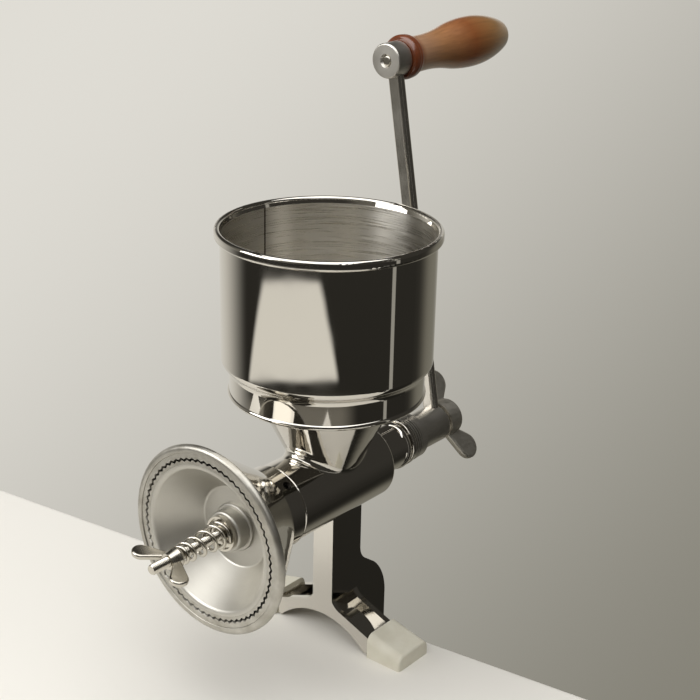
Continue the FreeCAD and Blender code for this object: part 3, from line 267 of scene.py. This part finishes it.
# %% Crank steel
along_arm = {"wave_mm": 4, "wave_depth_mm": 0.05, "drawn_out": (1, 1, 14)}
arm_steel = buffed_steel("stainless_bar_buffed_lengthways", **along_arm, smears=(0.16, 0.30))
dress(arm_steel, "crank_arm")
turned_wave = {"wave_mm": 6, "wave_depth_mm": 0.03}
satin_steel = buffed_steel("stainless_turned_satin", **turned_wave, smears=(0.26, 0.40))
dress(satin_steel, "crank_hub", "crank_boss", "thrust_washers")

# %% [markdown]
# ## The hopper's sheet: two finishes
#
# The hopper is thin stainless sheet. Its outside is polished to a mirror and is
# flatter than the castings, so it gets less wave. Its inside is left brushed, with
# lines running round it. Lines half a millimetre apart are coarser than real ones,
# so that they show. Anisotropy stretches the highlights across the lines, as on a
# pan. A thin dark upright line inside is shown as the seam of the sheet.

# %% Sheet, polished and brushed
LINE_MM = 0.5
LINE_SWEEP = 2.0
LINE_DEPTH = 0.007 * MM
LINE_LEVELS = {"To Min": 0.20, "To Max": 0.42}

sheet_wave = {"wave_mm": 40, "wave_depth_mm": 0.03}
sheet = buffed_steel("stainless_sheet_polished", **sheet_wave, smears=(0.015, 0.05))
brushed, tree, shader, place = new_finish(
    "stainless_sheet_brushed",
    "#DAD6CD",
    Metallic=1.0,
    Anisotropic=0.85,
    Anisotropic_Rotation=0.25,
)
lines = turning_lines(tree, place, True, LINE_MM, LINE_SWEEP)
satin = add(tree, "MapRange", {"Value": lines, **NOISE, **LINE_LEVELS})
scored = add(tree, "Bump", {"Height": lines, "Distance": LINE_DEPTH, "Strength": 1.0})
round_axis = add(tree, "Tangent", direction_type="RADIAL", axis="Z")
plug(tree, shader, {"Roughness": satin, "Normal": scored, "Tangent": round_axis})
print("brushed lines every", LINE_MM, "mm")

# %% [markdown]
# ## The seam inside
#
# The seam is an upright strip a millimetre wide. It could be a piece of its own, but
# it has no thickness to see, so two distances from the axis pick it out instead: one
# across the strip, which has to be small, and one towards it, which has to be
# positive, or the strip would show on the far side too.

# %% Seam
SEAM_ANGLE = math.radians(259)
SEAM_HALF = 0.5 * MM
across_seam = (math.cos(SEAM_ANGLE), math.sin(SEAM_ANGLE), 0)
towards_seam = (math.sin(SEAM_ANGLE), -math.cos(SEAM_ANGLE), 0)
aside = add(tree, "VectorMath", {0: place, 1: across_seam}, operation="DOT_PRODUCT")
ahead = add(tree, "VectorMath", {0: place, 1: towards_seam}, operation="DOT_PRODUCT")
off_seam = add(tree, "Math", {0: aside.outputs["Value"]}, operation="ABSOLUTE")
near = add(tree, "Math", {0: off_seam, 1: SEAM_HALF}, operation="LESS_THAN")
same_side = add(tree, "Math", {0: ahead.outputs["Value"], 1: 0.0}, operation="GREATER_THAN")
seam = add(tree, "Math", {0: near, 1: same_side}, operation="MULTIPLY")
sockets = {"Fac": seam, "Color1": linear("#DAD6CD"), "Color2": linear("#3A2E26")}
plug(tree, shader, {"Base Color": add(tree, "MixRGB", sockets)})
print("seam:", SEAM_HALF * 2 / MM, "mm wide")

# %% [markdown]
# ## Which side of the sheet
#
# Both finishes go on one solid. It could be cut in two, but its faces already tell
# which side they are on: an inner face points towards the axis and lies nearer to it
# than the middle of the sheet. The floor inside points up, and the rim stays
# polished all round.

# %% Hopper
OUTSIDE, INSIDE = 0, 1
SHEET_MIDDLE = 60.1 * MM
SHOULDER_TOP = (AXLE_MM + 80) * MM
RIM_FOOT = (AXLE_MM + 152) * MM
NEARLY_UP = 0.9

dress(sheet, "hopper")
hopper = nodes["hopper"]
hopper.data.materials.append(brushed)
for face in hopper.data.polygons:
    centre = face.center
    across = math.hypot(centre.x, centre.y)
    faces_in = face.normal.x * centre.x + face.normal.y * centre.y < 0
    floor_top = face.normal.z > NEARLY_UP and centre.z < SHOULDER_TOP
    below_rim = centre.z < RIM_FOOT and across < SHEET_MIDDLE
    face.material_index = INSIDE if below_rim and (faces_in or floor_top) else OUTSIDE
print("hopper: faces inside", sum(f.material_index for f in hopper.data.polygons))

# %% [markdown]
# ## Blasted steel: dish and hub
#
# The dish is pressed from sheet and blasted with fine grit, so it is pale and
# satin, with faint rings from the lathe that trimmed it. Plain roughness would make
# it look like grey plastic, so grit and rings are mixed half and half in the bump as
# well. Grit of about 0.2 mm is too fine to show in the picture, so it is drawn at
# twice that.

# %% Dish
RING_MM = 0.9
RING_SWEEP = 1.5
GRIT_MM = 0.4
GRIT_DEPTH = 0.03 * MM
HALF = 0.5

blasted, tree, shader, place = new_finish("stainless_grit_blasted", "#BDBAB2", Metallic=1.0)
rings = turning_lines(tree, place, False, RING_MM, RING_SWEEP)
grit = add(tree, "TexNoise", {"Vector": place, "Scale": per_mm(GRIT_MM), "Detail": 2.0})
mixed = add(tree, "Math", {0: rings, 1: grit}, operation="ADD")
halved = add(tree, "Math", {0: mixed, 1: HALF}, operation="MULTIPLY")
satin = add(tree, "MapRange", {"Value": halved, **NOISE, "To Min": 0.36, "To Max": 0.50})
grainy = add(tree, "Bump", {"Height": halved, "Distance": GRIT_DEPTH, "Strength": 1.0})
plug(tree, shader, {"Roughness": satin, "Normal": grainy})
dress(blasted, "rotating_dish", "burr_hub")

# %% [markdown]
# ## Burr rings
#
# The two rings and the auger are cut from tool steel. Their teeth are real shapes in
# the solids, so the finish needs no teeth of its own. A little meal dulls the steel
# in patches, so its colour drifts between two greys.

# %% Burr rings
MEAL_MM = 9
cut_steel, tree, shader, place = new_finish(
    "tool_steel_cut",
    "#B4B1AA",
    Metallic=1.0,
    Roughness=0.4,
)
meal = add(tree, "TexNoise", {"Vector": place, "Scale": per_mm(MEAL_MM), "Detail": 4.0})
dusty = add(tree, "MapRange", {"Value": meal, **NOISE, "To Min": 0.0, "To Max": 1.0})
sockets = {"Fac": dusty, "Color1": linear("#BDBAB2"), "Color2": linear("#A39F95")}
plug(tree, shader, {"Base Color": add(tree, "MixRGB", sockets)})
dress(cut_steel, "fixed_burr", "rotating_burr", "feed_auger")

# %% [markdown]
# ## Lip of the bell
#
# The bell's lip is turned flat after casting, so it is duller than the buffed bell
# and close to the burr ring that it holds. The lip is part of the bell's solid, so
# its faces are picked by how far forward they lie.

# %% Lip of the bell
BUFFED, TURNED = 0, 1
LIP_REAR = -96.6 * MM
bell = nodes["fixed_burr_housing"]
bell.data.materials.append(cut_steel)
for face in bell.data.polygons:
    face.material_index = TURNED if face.center.y < LIP_REAR else BUFFED
print("bell: faces on the turned lip", sum(f.material_index for f in bell.data.polygons))

# %% [markdown]
# ## Plated fittings
#
# Nuts, washers, spring and screws are carbon steel with a bright zinc or nickel
# plate. It is a little rougher and yellower than polished stainless steel. One
# finish does for all of them, because fine handling marks from noise in space fall
# differently on each.

# %% Plated steel
MARK_MM = 5
MARK_DEPTH = 0.008 * MM
plated, tree, shader, place = new_finish("steel_bright_plated", "#C2BDB2", Metallic=1.0)
marks = add(tree, "TexNoise", {"Vector": place, "Scale": per_mm(MARK_MM), "Detail": 3.0})
gloss = add(tree, "MapRange", {"Value": marks, **NOISE, "To Min": 0.14, "To Max": 0.26})
marked = add(tree, "Bump", {"Height": marks, "Distance": MARK_DEPTH, "Strength": 1.0})
plug(tree, shader, {"Roughness": gloss, "Normal": marked})
dress(plated, "nut_washer", "adjusting_nut", "spring_cup", "crank_washer")
dress(plated, "grip_spindle", "grip_screw", "clamp_pad", "clamp_handle", "handle_knobs")

# %% [markdown]
# ## Cast wing nut
#
# The rear wing nut was cast in sand and plated without machining, so its skin is
# pitted. Noise would only make it cloudy, so the pits come from cells of about
# 2.4 mm, pressed in by a small part of a millimetre.

# %% Cast wing nut
PIT_MM = 2.4
PIT_DEPTH = 0.04 * MM
SAND_MM = 1.5
sand_cast, tree, shader, place = new_finish("steel_sand_cast_plated", "#CBC7BD", Metallic=1.0)
pits = add(tree, "TexVoronoi", {"Vector": place, "Scale": per_mm(PIT_MM)})
sand = add(tree, "TexNoise", {"Vector": place, "Scale": per_mm(SAND_MM), "Detail": 2.0})
dull = add(tree, "MapRange", {"Value": sand, **NOISE, "To Min": 0.38, "To Max": 0.52})
pitted = add(tree, "Bump", {"Height": pits, "Distance": PIT_DEPTH, "Strength": 1.0})
plug(tree, shader, {"Roughness": dull, "Normal": pitted})
dress(sand_cast, "rear_wing_nut")

# %% [markdown]
# ## Dark screws, pin and bronze bush
#
# Grub screws are sold with a black oxide skin that is oiled, almost black with a
# dull gloss. The bush behind the barrel is plain bearing bronze with turning lines.
# Both are small or hidden, so uneven roughness is all that they need.

# %% Screws and bush
OIL_MM = 1.0
TURNED_MM = 0.6
TURNED_SWEEP = 1.0
oxide, tree, shader, place = new_finish("steel_black_oxide", "#2B2927", Metallic=1.0)
oil = add(tree, "TexNoise", {"Vector": place, "Scale": per_mm(OIL_MM), "Detail": 2.0})
dull = add(tree, "MapRange", {"Value": oil, **NOISE, "To Min": 0.32, "To Max": 0.5})
plug(tree, shader, {"Roughness": dull})
dress(oxide, "collar_set_screws", "drive_pin")

bronze, tree, shader, place = new_finish("bearing_bronze_turned", "#B58A52", Metallic=1.0)
lines = turning_lines(tree, place, False, TURNED_MM, TURNED_SWEEP)
satin = add(tree, "MapRange", {"Value": lines, **NOISE, "To Min": 0.22, "To Max": 0.4})
plug(tree, shader, {"Roughness": satin})
dress(bronze, "rear_bush")

# %% [markdown]
# ## Rubber feet
#
# The caps are moulded from off-white rubber. The mould leaves a fine even grain, and
# handling leaves the faintest greyish clouds. Three sizes of noise keep these apart:
# clouds in the colour, a fine unevenness in the gloss and the grain in the bump.

# %% Rubber
CLOUD_MM = 9
MATT_MM = 1.2
GRAIN_MM = 0.6
GRAIN_DEPTH = 0.03 * MM
rubber, tree, shader, place = new_finish("rubber_moulded_offwhite", "#DED9C8", IOR=1.52)
clouds = add(tree, "TexNoise", {"Vector": place, "Scale": per_mm(CLOUD_MM), "Detail": 4.0})
cloudy = add(tree, "MapRange", {"Value": clouds, **NOISE, "To Min": 0.0, "To Max": 1.0})
sockets = {"Fac": cloudy, "Color1": linear("#E4E0D0"), "Color2": linear("#DAD5C3")}
colour = add(tree, "MixRGB", sockets)
matt = add(tree, "TexNoise", {"Vector": place, "Scale": per_mm(MATT_MM), "Detail": 2.0})
gloss = add(tree, "MapRange", {"Value": matt, **NOISE, "To Min": 0.42, "To Max": 0.6})
grain = add(tree, "TexNoise", {"Vector": place, "Scale": per_mm(GRAIN_MM), "Detail": 2.0})
grainy = add(tree, "Bump", {"Height": grain, "Distance": GRAIN_DEPTH, "Strength": 1.0})
plug(tree, shader, {"Base Color": colour, "Roughness": gloss, "Normal": grainy})
dress(rubber, "left_foot_cap", "right_foot_cap")

# %% [markdown]
# ## Varnished grip: colour along its length
#
# The grip is turned hardwood under a thick clear varnish, which is the shader's coat.
# Its colour is darker on the bead and in the middle, and paler on the neck and at the
# end. It could be painted on by hand, but it changes along the grip only, so a row of
# colours that follows the length is enough.

# %% Colour along the grip
GRIP_FROM, GRIP_TO = 111 * MM, 222 * MM
GRIP_COLOURS = [
    (0.0, "#6B3418"),
    (0.08, "#874521"),
    (0.13, "#B48A6A"),
    (0.3, "#AC7A50"),
    (0.55, "#93562B"),
    (0.8, "#A47A48"),
    (1.0, "#B08E5E"),
]
wood, tree, shader, place = new_finish(
    "hardwood_turned_varnished",
    "#9A5630",
    IOR=1.5,
    Coat_Weight=1.0,
    Coat_Roughness=0.08,
)
along = add(tree, "SeparateXYZ", {"Vector": place}).outputs["Y"]
share = add(tree, "MapRange", {"Value": along, "From Min": GRIP_FROM, "From Max": GRIP_TO})
# A ramp of colours along the grip: darker on the bead and in the middle, paler on the neck and
# at the end.
grip_colours = add(tree, "ValToRGB", {"Fac": share})
stops = grip_colours.color_ramp.elements
while len(stops) < len(GRIP_COLOURS):
    stops.new(HALF)
for stop, (where, colour) in zip(stops, GRIP_COLOURS):
    stop.position = where
    stop.color = linear(colour)
print("stain:", len(stops), "colours along", round((GRIP_TO - GRIP_FROM) / MM), "mm")

# %% [markdown]
# ## Varnished grip: grain
#
# Faint grain runs along the grip in streaks about a millimetre and a half wide. Noise
# is drawn out to streaks by scaling its coordinates less along the grip than across
# it. The streaks lighten and darken the colours along the grip, and dull the wood
# under the varnish.

# %% Wood
STREAK_MM = 1.6
STREAK_LENGTH_MM = 40
NO_SHIFT = 0.5
stretch = (per_mm(STREAK_MM), per_mm(STREAK_LENGTH_MM), per_mm(STREAK_MM))
drawn = add(tree, "VectorMath", {0: place, 1: stretch}, operation="MULTIPLY")
sockets = {"Vector": drawn, "Scale": 1.0, "Detail": 3.0, "Distortion": 0.4}
grain = add(tree, "TexNoise", sockets)
tone = add(tree, "MapRange", {"Value": grain, **NOISE, "To Min": 0.86, "To Max": 1.12})
streaked = add(tree, "HueSaturation", {"Hue": NO_SHIFT, "Value": tone, "Color": grip_colours})
gloss = add(tree, "MapRange", {"Value": grain, **NOISE, "To Min": 0.3, "To Max": 0.4})
plug(tree, shader, {"Base Color": streaked, "Roughness": gloss})
dress(wood, "wooden_grip")

# %% [markdown]
# ## A skin over rings
#
# Threaded bars and the spring's wire are both rows of rings. A curve with a round
# bevel could make the wire, but not a thread, so one function joins any rings of
# points into a closed piece. It is shaded smooth, apart from steps that turn more
# sharply than a given angle.

# %% Skin over rings


def skin(name, rings, sharp_degrees, material):
    """Joins rings of points into one closed piece."""
    grid = bmesh.new()
    loops = [[grid.verts.new(point) for point in ring] for ring in rings]
    for low, high in zip(loops, loops[1:]):
        for i in range(len(low)):
            j = (i + 1) % len(low)
            grid.faces.new((low[i], low[j], high[j], high[i]))
    grid.faces.new(loops[0])
    grid.faces.new(loops[-1])
    bmesh.ops.recalc_face_normals(grid, faces=grid.faces)
    mesh = bpy.data.meshes.new(name)
    grid.to_mesh(mesh)
    grid.free()
    mesh.shade_smooth()
    mesh.set_sharp_from_angle(angle=math.radians(sharp_degrees))
    mesh.materials.append(material)
    piece = bpy.data.objects.new(name, mesh)
    bpy.context.scene.collection.objects.link(piece)
    print(name + ":", len(mesh.vertices), "points")
    return piece


# %% [markdown]
# ## A turned bar with a thread
#
# The shaft's front end and the clamp screw are threaded. A bump in the material would
# leave their outline straight, so the thread is real: a radius that rises and falls
# along the bar and shifts by one pitch in each turn. Plain steps are simply stations
# with no thread.

# %% Turned bars
FULL_TURN = 2 * math.pi
ROUND_STEPS = 48
STEPS_PER_PITCH = 8


def thread_stations(start, stop, radius, pitch, depth):
    """Stations along a threaded length: place, radius, pitch and depth at each."""
    count = int(abs(stop - start) / pitch * STEPS_PER_PITCH)
    step = (stop - start) / count
    return [(start + step * i, radius, pitch, depth) for i in range(count + 1)]


def plain_stations(*steps):
    """Stations of a plain length, from places and radii in millimetres."""
    return [(along * MM, radius * MM, 0, 0) for along, radius in steps]


def turned_rings(stations, place_point):
    """Rings round a turned bar; place_point puts along, angle and radius in space."""
    angles = [FULL_TURN * i / ROUND_STEPS for i in range(ROUND_STEPS)]
    rings = []
    for along, radius, pitch, depth in stations:
        ring = []
        for angle in angles:
            groove = 0.5 - 0.5 * math.cos(FULL_TURN * along / pitch - angle) if pitch else 0.0
            ring.append(place_point(along, angle, radius - depth * groove))
        rings.append(ring)
    return rings


# %% [markdown]
# ## Shaft
#
# The shaft lies along the barrel: a fine thread in front for the wing nut, then
# plain steps for the dish, the barrel and the crank. Its thread has a pitch of one
# millimetre, as the nut's joint has, so a turn of the nut moves it by one ridge.

# %% Shaft
BAR_SHARP = 40
SHAFT_PITCH = 1.0 * MM
SHAFT_THREAD = 0.45 * MM
SHAFT_RADIUS = 3.0 * MM
SHAFT_TIP, SHAFT_THREAD_END = -139.9 * MM, -90.5 * MM


def on_axle(along, angle, radius):
    """Point on the shaft, along the barrel."""
    return AXLE + Vector((radius * math.sin(angle), along, radius * math.cos(angle)))


stations = plain_stations((-140.5, 2.4))
stations += thread_stations(SHAFT_TIP, SHAFT_THREAD_END, SHAFT_RADIUS, SHAFT_PITCH, SHAFT_THREAD)
stations += plain_stations((-90.5, 5.0), (-62.0, 5.0), (-62.0, 6.0), (77.3, 6.0))
stations += plain_stations((77.3, 5.0), (109.6, 5.0), (109.6, 3.0), (121.0, 3.0))
shaft = skin("threaded_shaft", turned_rings(stations, on_axle), BAR_SHARP, plated)
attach(shaft, "drive")
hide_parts("drive_shaft")

# %% [markdown]
# ## Clamp screw
#
# The clamp screw stands upright under the table. It has a coarse thread that pushes
# the pad up, a stub that the pad turns on, and a round head below for the bar. It is
# made from stations as the shaft is, only set upright.

# %% Clamp screw
CLAMP_Y = 10 * MM
CLAMP_PITCH = 3 * MM
CLAMP_THREAD = 1.1 * MM
CLAMP_RADIUS = 6.0 * MM
CLAMP_LOW, CLAMP_HIGH = -111.0 * MM, -42.0 * MM


def on_clamp(along, angle, radius):
    """Point on the upright clamp screw."""
    return Vector((radius * math.cos(angle), CLAMP_Y + radius * math.sin(angle), along))


stations = plain_stations((-126.0, 7.3), (-125.0, 8.5), (-113.0, 8.5), (-112.0, 7.6))
stations += plain_stations((-112.0, 6.0))
stations += thread_stations(CLAMP_LOW, CLAMP_HIGH, CLAMP_RADIUS, CLAMP_PITCH, CLAMP_THREAD)
stations += plain_stations((-40.0, 4.8), (-40.0, 4.0), (-35.0, 4.0))
clamp_rings = turned_rings(stations, on_clamp)
clamp_screw = skin("threaded_clamp_screw", clamp_rings, BAR_SHARP, plated)
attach(clamp_screw, "clamp_screw")
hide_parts("clamp_screw")

# %% [markdown]
# ## The spring's winding
#
# The spring is one round wire, wound as a cone and closer at both ends. A screw
# modifier could wind it evenly, but not close its ends, so its line is worked out
# point by point, with a little of the wire past each end. A ring is carried along
# the line and kept square to it.

# %% Winding
WIRE_RADIUS = 1.1 * MM
WIRE_SIDES = 14
COIL_BIG, COIL_SMALL = 7.2 * MM, 4.6 * MM
COIL_START, COIL_STOP = -88.5 * MM, -120.0 * MM
COIL_TURNS = 5.5
COIL_CLOSING = 0.45
STEPS_PER_TURN = 56


def coil_point(share):
    """Centre of the wire at a share of all turns."""
    angle = FULL_TURN * COIL_TURNS * share
    radius = COIL_BIG + (COIL_SMALL - COIL_BIG) * share
    ease = share - COIL_CLOSING * math.sin(FULL_TURN * share) / FULL_TURN
    along = COIL_START + (COIL_STOP - COIL_START) * ease
    return AXLE + Vector((radius * math.cos(angle), along, radius * math.sin(angle)))


def wire_rings(path):
    """Rings round a wire, square to its path."""
    angles = [FULL_TURN * i / WIRE_SIDES for i in range(WIRE_SIDES)]
    last = len(path) - 1
    rings = []
    for i, point in enumerate(path):
        heading = (path[min(i + 1, last)] - path[max(i - 1, 0)]).normalized()
        side = heading.cross(Vector((0, 1, 0))).normalized()
        lift = side.cross(heading)
        offsets = [side * math.cos(angle) + lift * math.sin(angle) for angle in angles]
        rings.append([point + offset * WIRE_RADIUS for offset in offsets])
    return rings


count = int(COIL_TURNS * STEPS_PER_TURN)
winding = [coil_point(i / count) for i in range(count + 1)]
first_heading = (winding[0] - winding[1]).normalized()
last_heading = (winding[-1] - winding[-2]).normalized()
winding.insert(0, winding[0] + first_heading * WIRE_RADIUS * 2)
winding.append(winding[-1] + last_heading * WIRE_RADIUS * 2)
print("winding:", COIL_TURNS, "turns in", len(winding), "points")

# %% [markdown]
# ## The spring in two lengths
#
# One end of the spring sits on the dish's cup and the other on the nut's washer, and
# both move. A piece can be stretched between two bodies only where one joint joins
# them, so the spring is made as two lengths that meet at a still point. Each length
# names the two bodies that it would span, the short one for the dish's float and the
# long one for the nut's travel, but neither is attached or stretched here: both stay
# where they are wound.

# %% Spring
WIRE_SHARP = 50
STILL_POINT = 0.3
split = round(count * STILL_POINT) + 1
dish_end = AXLE + Vector((0, COIL_START, 0))
still = AXLE + Vector((0, winding[split].y, 0))
nut_end = AXLE + Vector((0, COIL_STOP, 0))
lengths = [
    ("wound_spring_rear", winding[: split + 1], "burr", "drive", dish_end, still),
    ("wound_spring_front", winding[split:], "drive", "nut_seat", still, nut_end),
]
for name, path, first, last, start, stop in lengths:
    coil = skin(name, wire_rings(path), WIRE_SHARP, plated)
    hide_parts("pressure_spring")
    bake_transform(coil)
    print(name + ": from", round(start.y / MM, 1), "to", round(stop.y / MM, 1), "mm")

# %% [markdown]
# ## Table
#
# The mill stands on a plain pale table top and its clamp grips the far edge, which
# runs at a slight angle. A cube would do for a square slab, but this outline is
# slanted, so one face is drawn and pulled down. The slab is as thick as the clamp's
# gap allows, and a bevel rounds its edge softly.

# %% Table
EDGE_AT = 30 * MM
EDGE_SLOPE = 0.125
TABLE_LEFT, TABLE_RIGHT, TABLE_NEAR = -340 * MM, 300 * MM, -340 * MM
TABLE_THICK = 28 * MM
TABLE_ROUND = 4 * MM
ROUNDING_STEPS = 4

outline = [
    (TABLE_LEFT, EDGE_AT + EDGE_SLOPE * TABLE_LEFT),
    (TABLE_LEFT, TABLE_NEAR),
    (TABLE_RIGHT, TABLE_NEAR),
    (TABLE_RIGHT, EDGE_AT + EDGE_SLOPE * TABLE_RIGHT),
]
grid = bmesh.new()
top = grid.faces.new([grid.verts.new((x, y, 0)) for x, y in outline])
grown = bmesh.ops.extrude_face_region(grid, geom=[top])["geom"]
for point in grown:
    if isinstance(point, bmesh.types.BMVert):
        point.co.z = -TABLE_THICK
bmesh.ops.recalc_face_normals(grid, faces=grid.faces)
mesh = bpy.data.meshes.new("table_top")
grid.to_mesh(mesh)
grid.free()
table_paint = new_finish("table_top_matt_paint", "#EAE7E0", Roughness=0.55)[0]
mesh.materials.append(table_paint)
table_top = bpy.data.objects.new("table_top", mesh)
bpy.context.scene.collection.objects.link(table_top)
rounding = table_top.modifiers.new("rounded_edge", "BEVEL")
rounding.width = TABLE_ROUND
rounding.segments = ROUNDING_STEPS
print("table:", round(TABLE_THICK / MM), "mm thick")

# %% [markdown]
# ## The room: directions
#
# Polished steel shows whatever is round it, so the room matters as much as the
# lamps. Real walls would have to be built and lit. The world's colour can be painted
# by direction instead, which is simpler and gives the same on every run. A direction
# is given by its compass angle, counted from the dish's side towards the right foot,
# and by how far it rises or falls.

# %% Directions
WALL_FROM, WALL_TO = 143, 310
QUARTER = 90
AIMS = {
    "pane": 0,
    "hall": -35,
    "door": 112,
    "wall_right": WALL_FROM + QUARTER,
    "wall_left": WALL_TO - QUARTER,
}


def sine(degrees):
    """Sine of an angle: also the height of a direction raised by that angle."""
    return math.sin(math.radians(degrees))


def cosine(degrees):
    """Cosine of an angle: also how well a direction that far off points at an aim."""
    return math.cos(math.radians(degrees))


world = bpy.data.worlds.new("pale_wall")
bpy.context.scene.world = world
world.use_nodes = True
tree = world.node_tree
sky = add(tree, "TexCoord").outputs["Generated"]
height = add(tree, "SeparateXYZ", {"Vector": sky}).outputs["Z"]
flat = add(tree, "VectorMath", {0: sky, 1: (1, 1, 0)}, operation="MULTIPLY")
level = add(tree, "VectorMath", {0: flat}, operation="NORMALIZE")
facing = {}
for name, compass in AIMS.items():
    aim = (sine(compass), -cosine(compass), 0)
    pointing = add(tree, "VectorMath", {0: level, 1: aim}, operation="DOT_PRODUCT")
    facing[name] = pointing.outputs["Value"]
print("room: wall from", WALL_FROM, "to", WALL_TO, "degrees")

# %% [markdown]
# ## The room: soft patches
#
# A patch of the room is a colour laid over what is already there, inside soft edges.
# Each edge says which measure it follows, where the patch has not begun and where it
# is full. Edges multiply, so the patch lies where all of them meet.

# %% Patches


def paint(below, above, *edges):
    """Lays one colour over another inside soft edges: measure, none at, full at."""
    share = 1.0
    for measure, none, full in edges:
        ends = {"Value": measure, "From Min": none, "From Max": full}
        edge = add(tree, "MapRange", ends, interpolation_type="SMOOTHSTEP")
        share = add(tree, "Math", {0: share, 1: edge}, operation="MULTIPLY")
    return add(tree, "MixRGB", {"Fac": share, "Color1": below, "Color2": above})


# %% [markdown]
# ## The room: dark side
#
# Behind the camera lies a dark room, which makes the dark sides of the hopper. It has
# a greyer hall on the left, a greyer floor under the pane, and one thin doorway on
# the right, which is the thin bright line down the hopper.

# %% Dark side
ROOM_LOW, ROOM_HIGH = -50, 5
HALL_FOOT, HALL_FULL = -16, -11
HALL_SIDES = (0.5, 0.9)
FLOOR_FROM, FLOOR_TO = -23.3, -24.1
FLOOR_SIDES = (0.2, 0.6)
DOOR_HALF, DOOR_EDGE = 1.8, 0.8

shade = (height, sine(ROOM_LOW), sine(ROOM_HIGH))
room = paint(linear("#24231F"), linear("#3F3D39"), shade)
hall_rise = (height, sine(HALL_FOOT), sine(HALL_FULL))
room = paint(room, linear("#77746C"), (facing["hall"], *HALL_SIDES), hall_rise)
floor_fall = (height, sine(FLOOR_FROM), sine(FLOOR_TO))
room = paint(room, linear("#7F7B72"), (facing["pane"], *FLOOR_SIDES), floor_fall)
door_edge = (facing["door"], cosine(DOOR_HALF + DOOR_EDGE), cosine(DOOR_HALF))
room = paint(room, linear("#AFADA6"), door_edge)
print("room: door", DOOR_HALF * 2, "degrees wide")

# %% [markdown]
# ## The room: bright pane
#
# A low bright pane in front of the dish gives the pale patch on the hopper. The patch
# is wider at its foot than at its head, so the pane's sides lean: how far a direction
# may turn from the pane's middle depends on its height.

# %% Pane
PANE_FOOT, PANE_FOOT_HALF = -22.8, 50
PANE_HEAD, PANE_HEAD_HALF = -19.2, 31
PANE_EDGE = 0.3
SIDE_OUT, SIDE_IN = 0.05, 0.03

foot_reach = cosine(PANE_FOOT_HALF)
head_reach = cosine(PANE_HEAD_HALF)
lean = (head_reach - foot_reach) / (sine(PANE_HEAD) - sine(PANE_FOOT))
limit = foot_reach - lean * sine(PANE_FOOT)
leaning = {0: height, 1: -lean, 2: facing["pane"]}
aimed = add(tree, "Math", leaning, operation="MULTIPLY_ADD")
sides = (aimed, limit - SIDE_OUT, limit + SIDE_IN)
foot = (height, sine(PANE_FOOT - PANE_EDGE), sine(PANE_FOOT))
head = (height, sine(PANE_HEAD + PANE_EDGE), sine(PANE_HEAD))
room = paint(room, linear("#FFFCF4"), sides, foot, head)
print("room: pane from", PANE_FOOT, "to", PANE_HEAD, "degrees")

# %% [markdown]
# ## The room: pale wall and ceiling
#
# A pale wall stands behind the mill and is what the camera sees. It is lighter at the
# top left and greyer at the lower right, so its shade follows one slanted direction.
# It fades out above, and a pale ceiling closes the room, which lights the rims.

# %% Wall and ceiling
SLANT = 0.7
WALL_LIGHT, WALL_GREY = -0.30, 0.36
WALL_HEAD, WALL_FULL = 22, 4
RIGHT_END, LEFT_END = (0.0, 0.5), (0.03, 0.85)
CEILING_FROM, CEILING_TO = 58, 66
ROOM_LIGHT = 0.95

fall = tuple((right - up) * SLANT)
slope = add(tree, "VectorMath", {0: sky, 1: fall}, operation="DOT_PRODUCT").outputs["Value"]
wall = paint(linear("#E5E2DA"), linear("#878479"), (slope, WALL_LIGHT, WALL_GREY))
right_end = (facing["wall_right"], *RIGHT_END)
left_end = (facing["wall_left"], *LEFT_END)
wall_top = (height, sine(WALL_HEAD), sine(WALL_FULL))
around = paint(room, wall, right_end, left_end, wall_top)
ceiling = (height, sine(CEILING_FROM), sine(CEILING_TO))
around = paint(around, linear("#C9C6BE"), ceiling)
plug(tree, tree.nodes["Background"], {"Color": around, "Strength": ROOM_LIGHT})
print("room:", len(tree.nodes), "nodes")

# %% [markdown]
# ## Lamps
#
# Two large soft lamps light the table and the matt pieces: a window on the left and
# the ceiling. The world alone would leave only a faint shadow under the dish. Small
# lamps would give hard shadows and bright dots in the steel, so these are a metre or
# more across.

# %% Lamps


def soft_lamp(name, place, aim, width, height, power):
    """A rectangular soft lamp that faces a point."""
    lamp = bpy.data.lights.new(name, "AREA")
    lamp.shape = "RECTANGLE"
    lamp.size = width
    lamp.size_y = height
    lamp.energy = power
    holder = bpy.data.objects.new(name, lamp)
    holder.location = place
    holder.rotation_mode = "QUATERNION"
    holder.rotation_quaternion = (Vector(aim) - Vector(place)).to_track_quat("-Z", "Y")
    bpy.context.scene.collection.objects.link(holder)
    print("lamp:", name, power, "W")


LIT_POINT = (0, 0, 150 * MM)
WINDOW_AT = (-0.9, -1.3, 0.9)
CEILING_AT = (0.2, -0.5, 1.8)
soft_lamp("window_left", WINDOW_AT, LIT_POINT, width=1.2, height=1.0, power=18)
soft_lamp("ceiling", CEILING_AT, LIT_POINT, width=2.4, height=2.4, power=36)
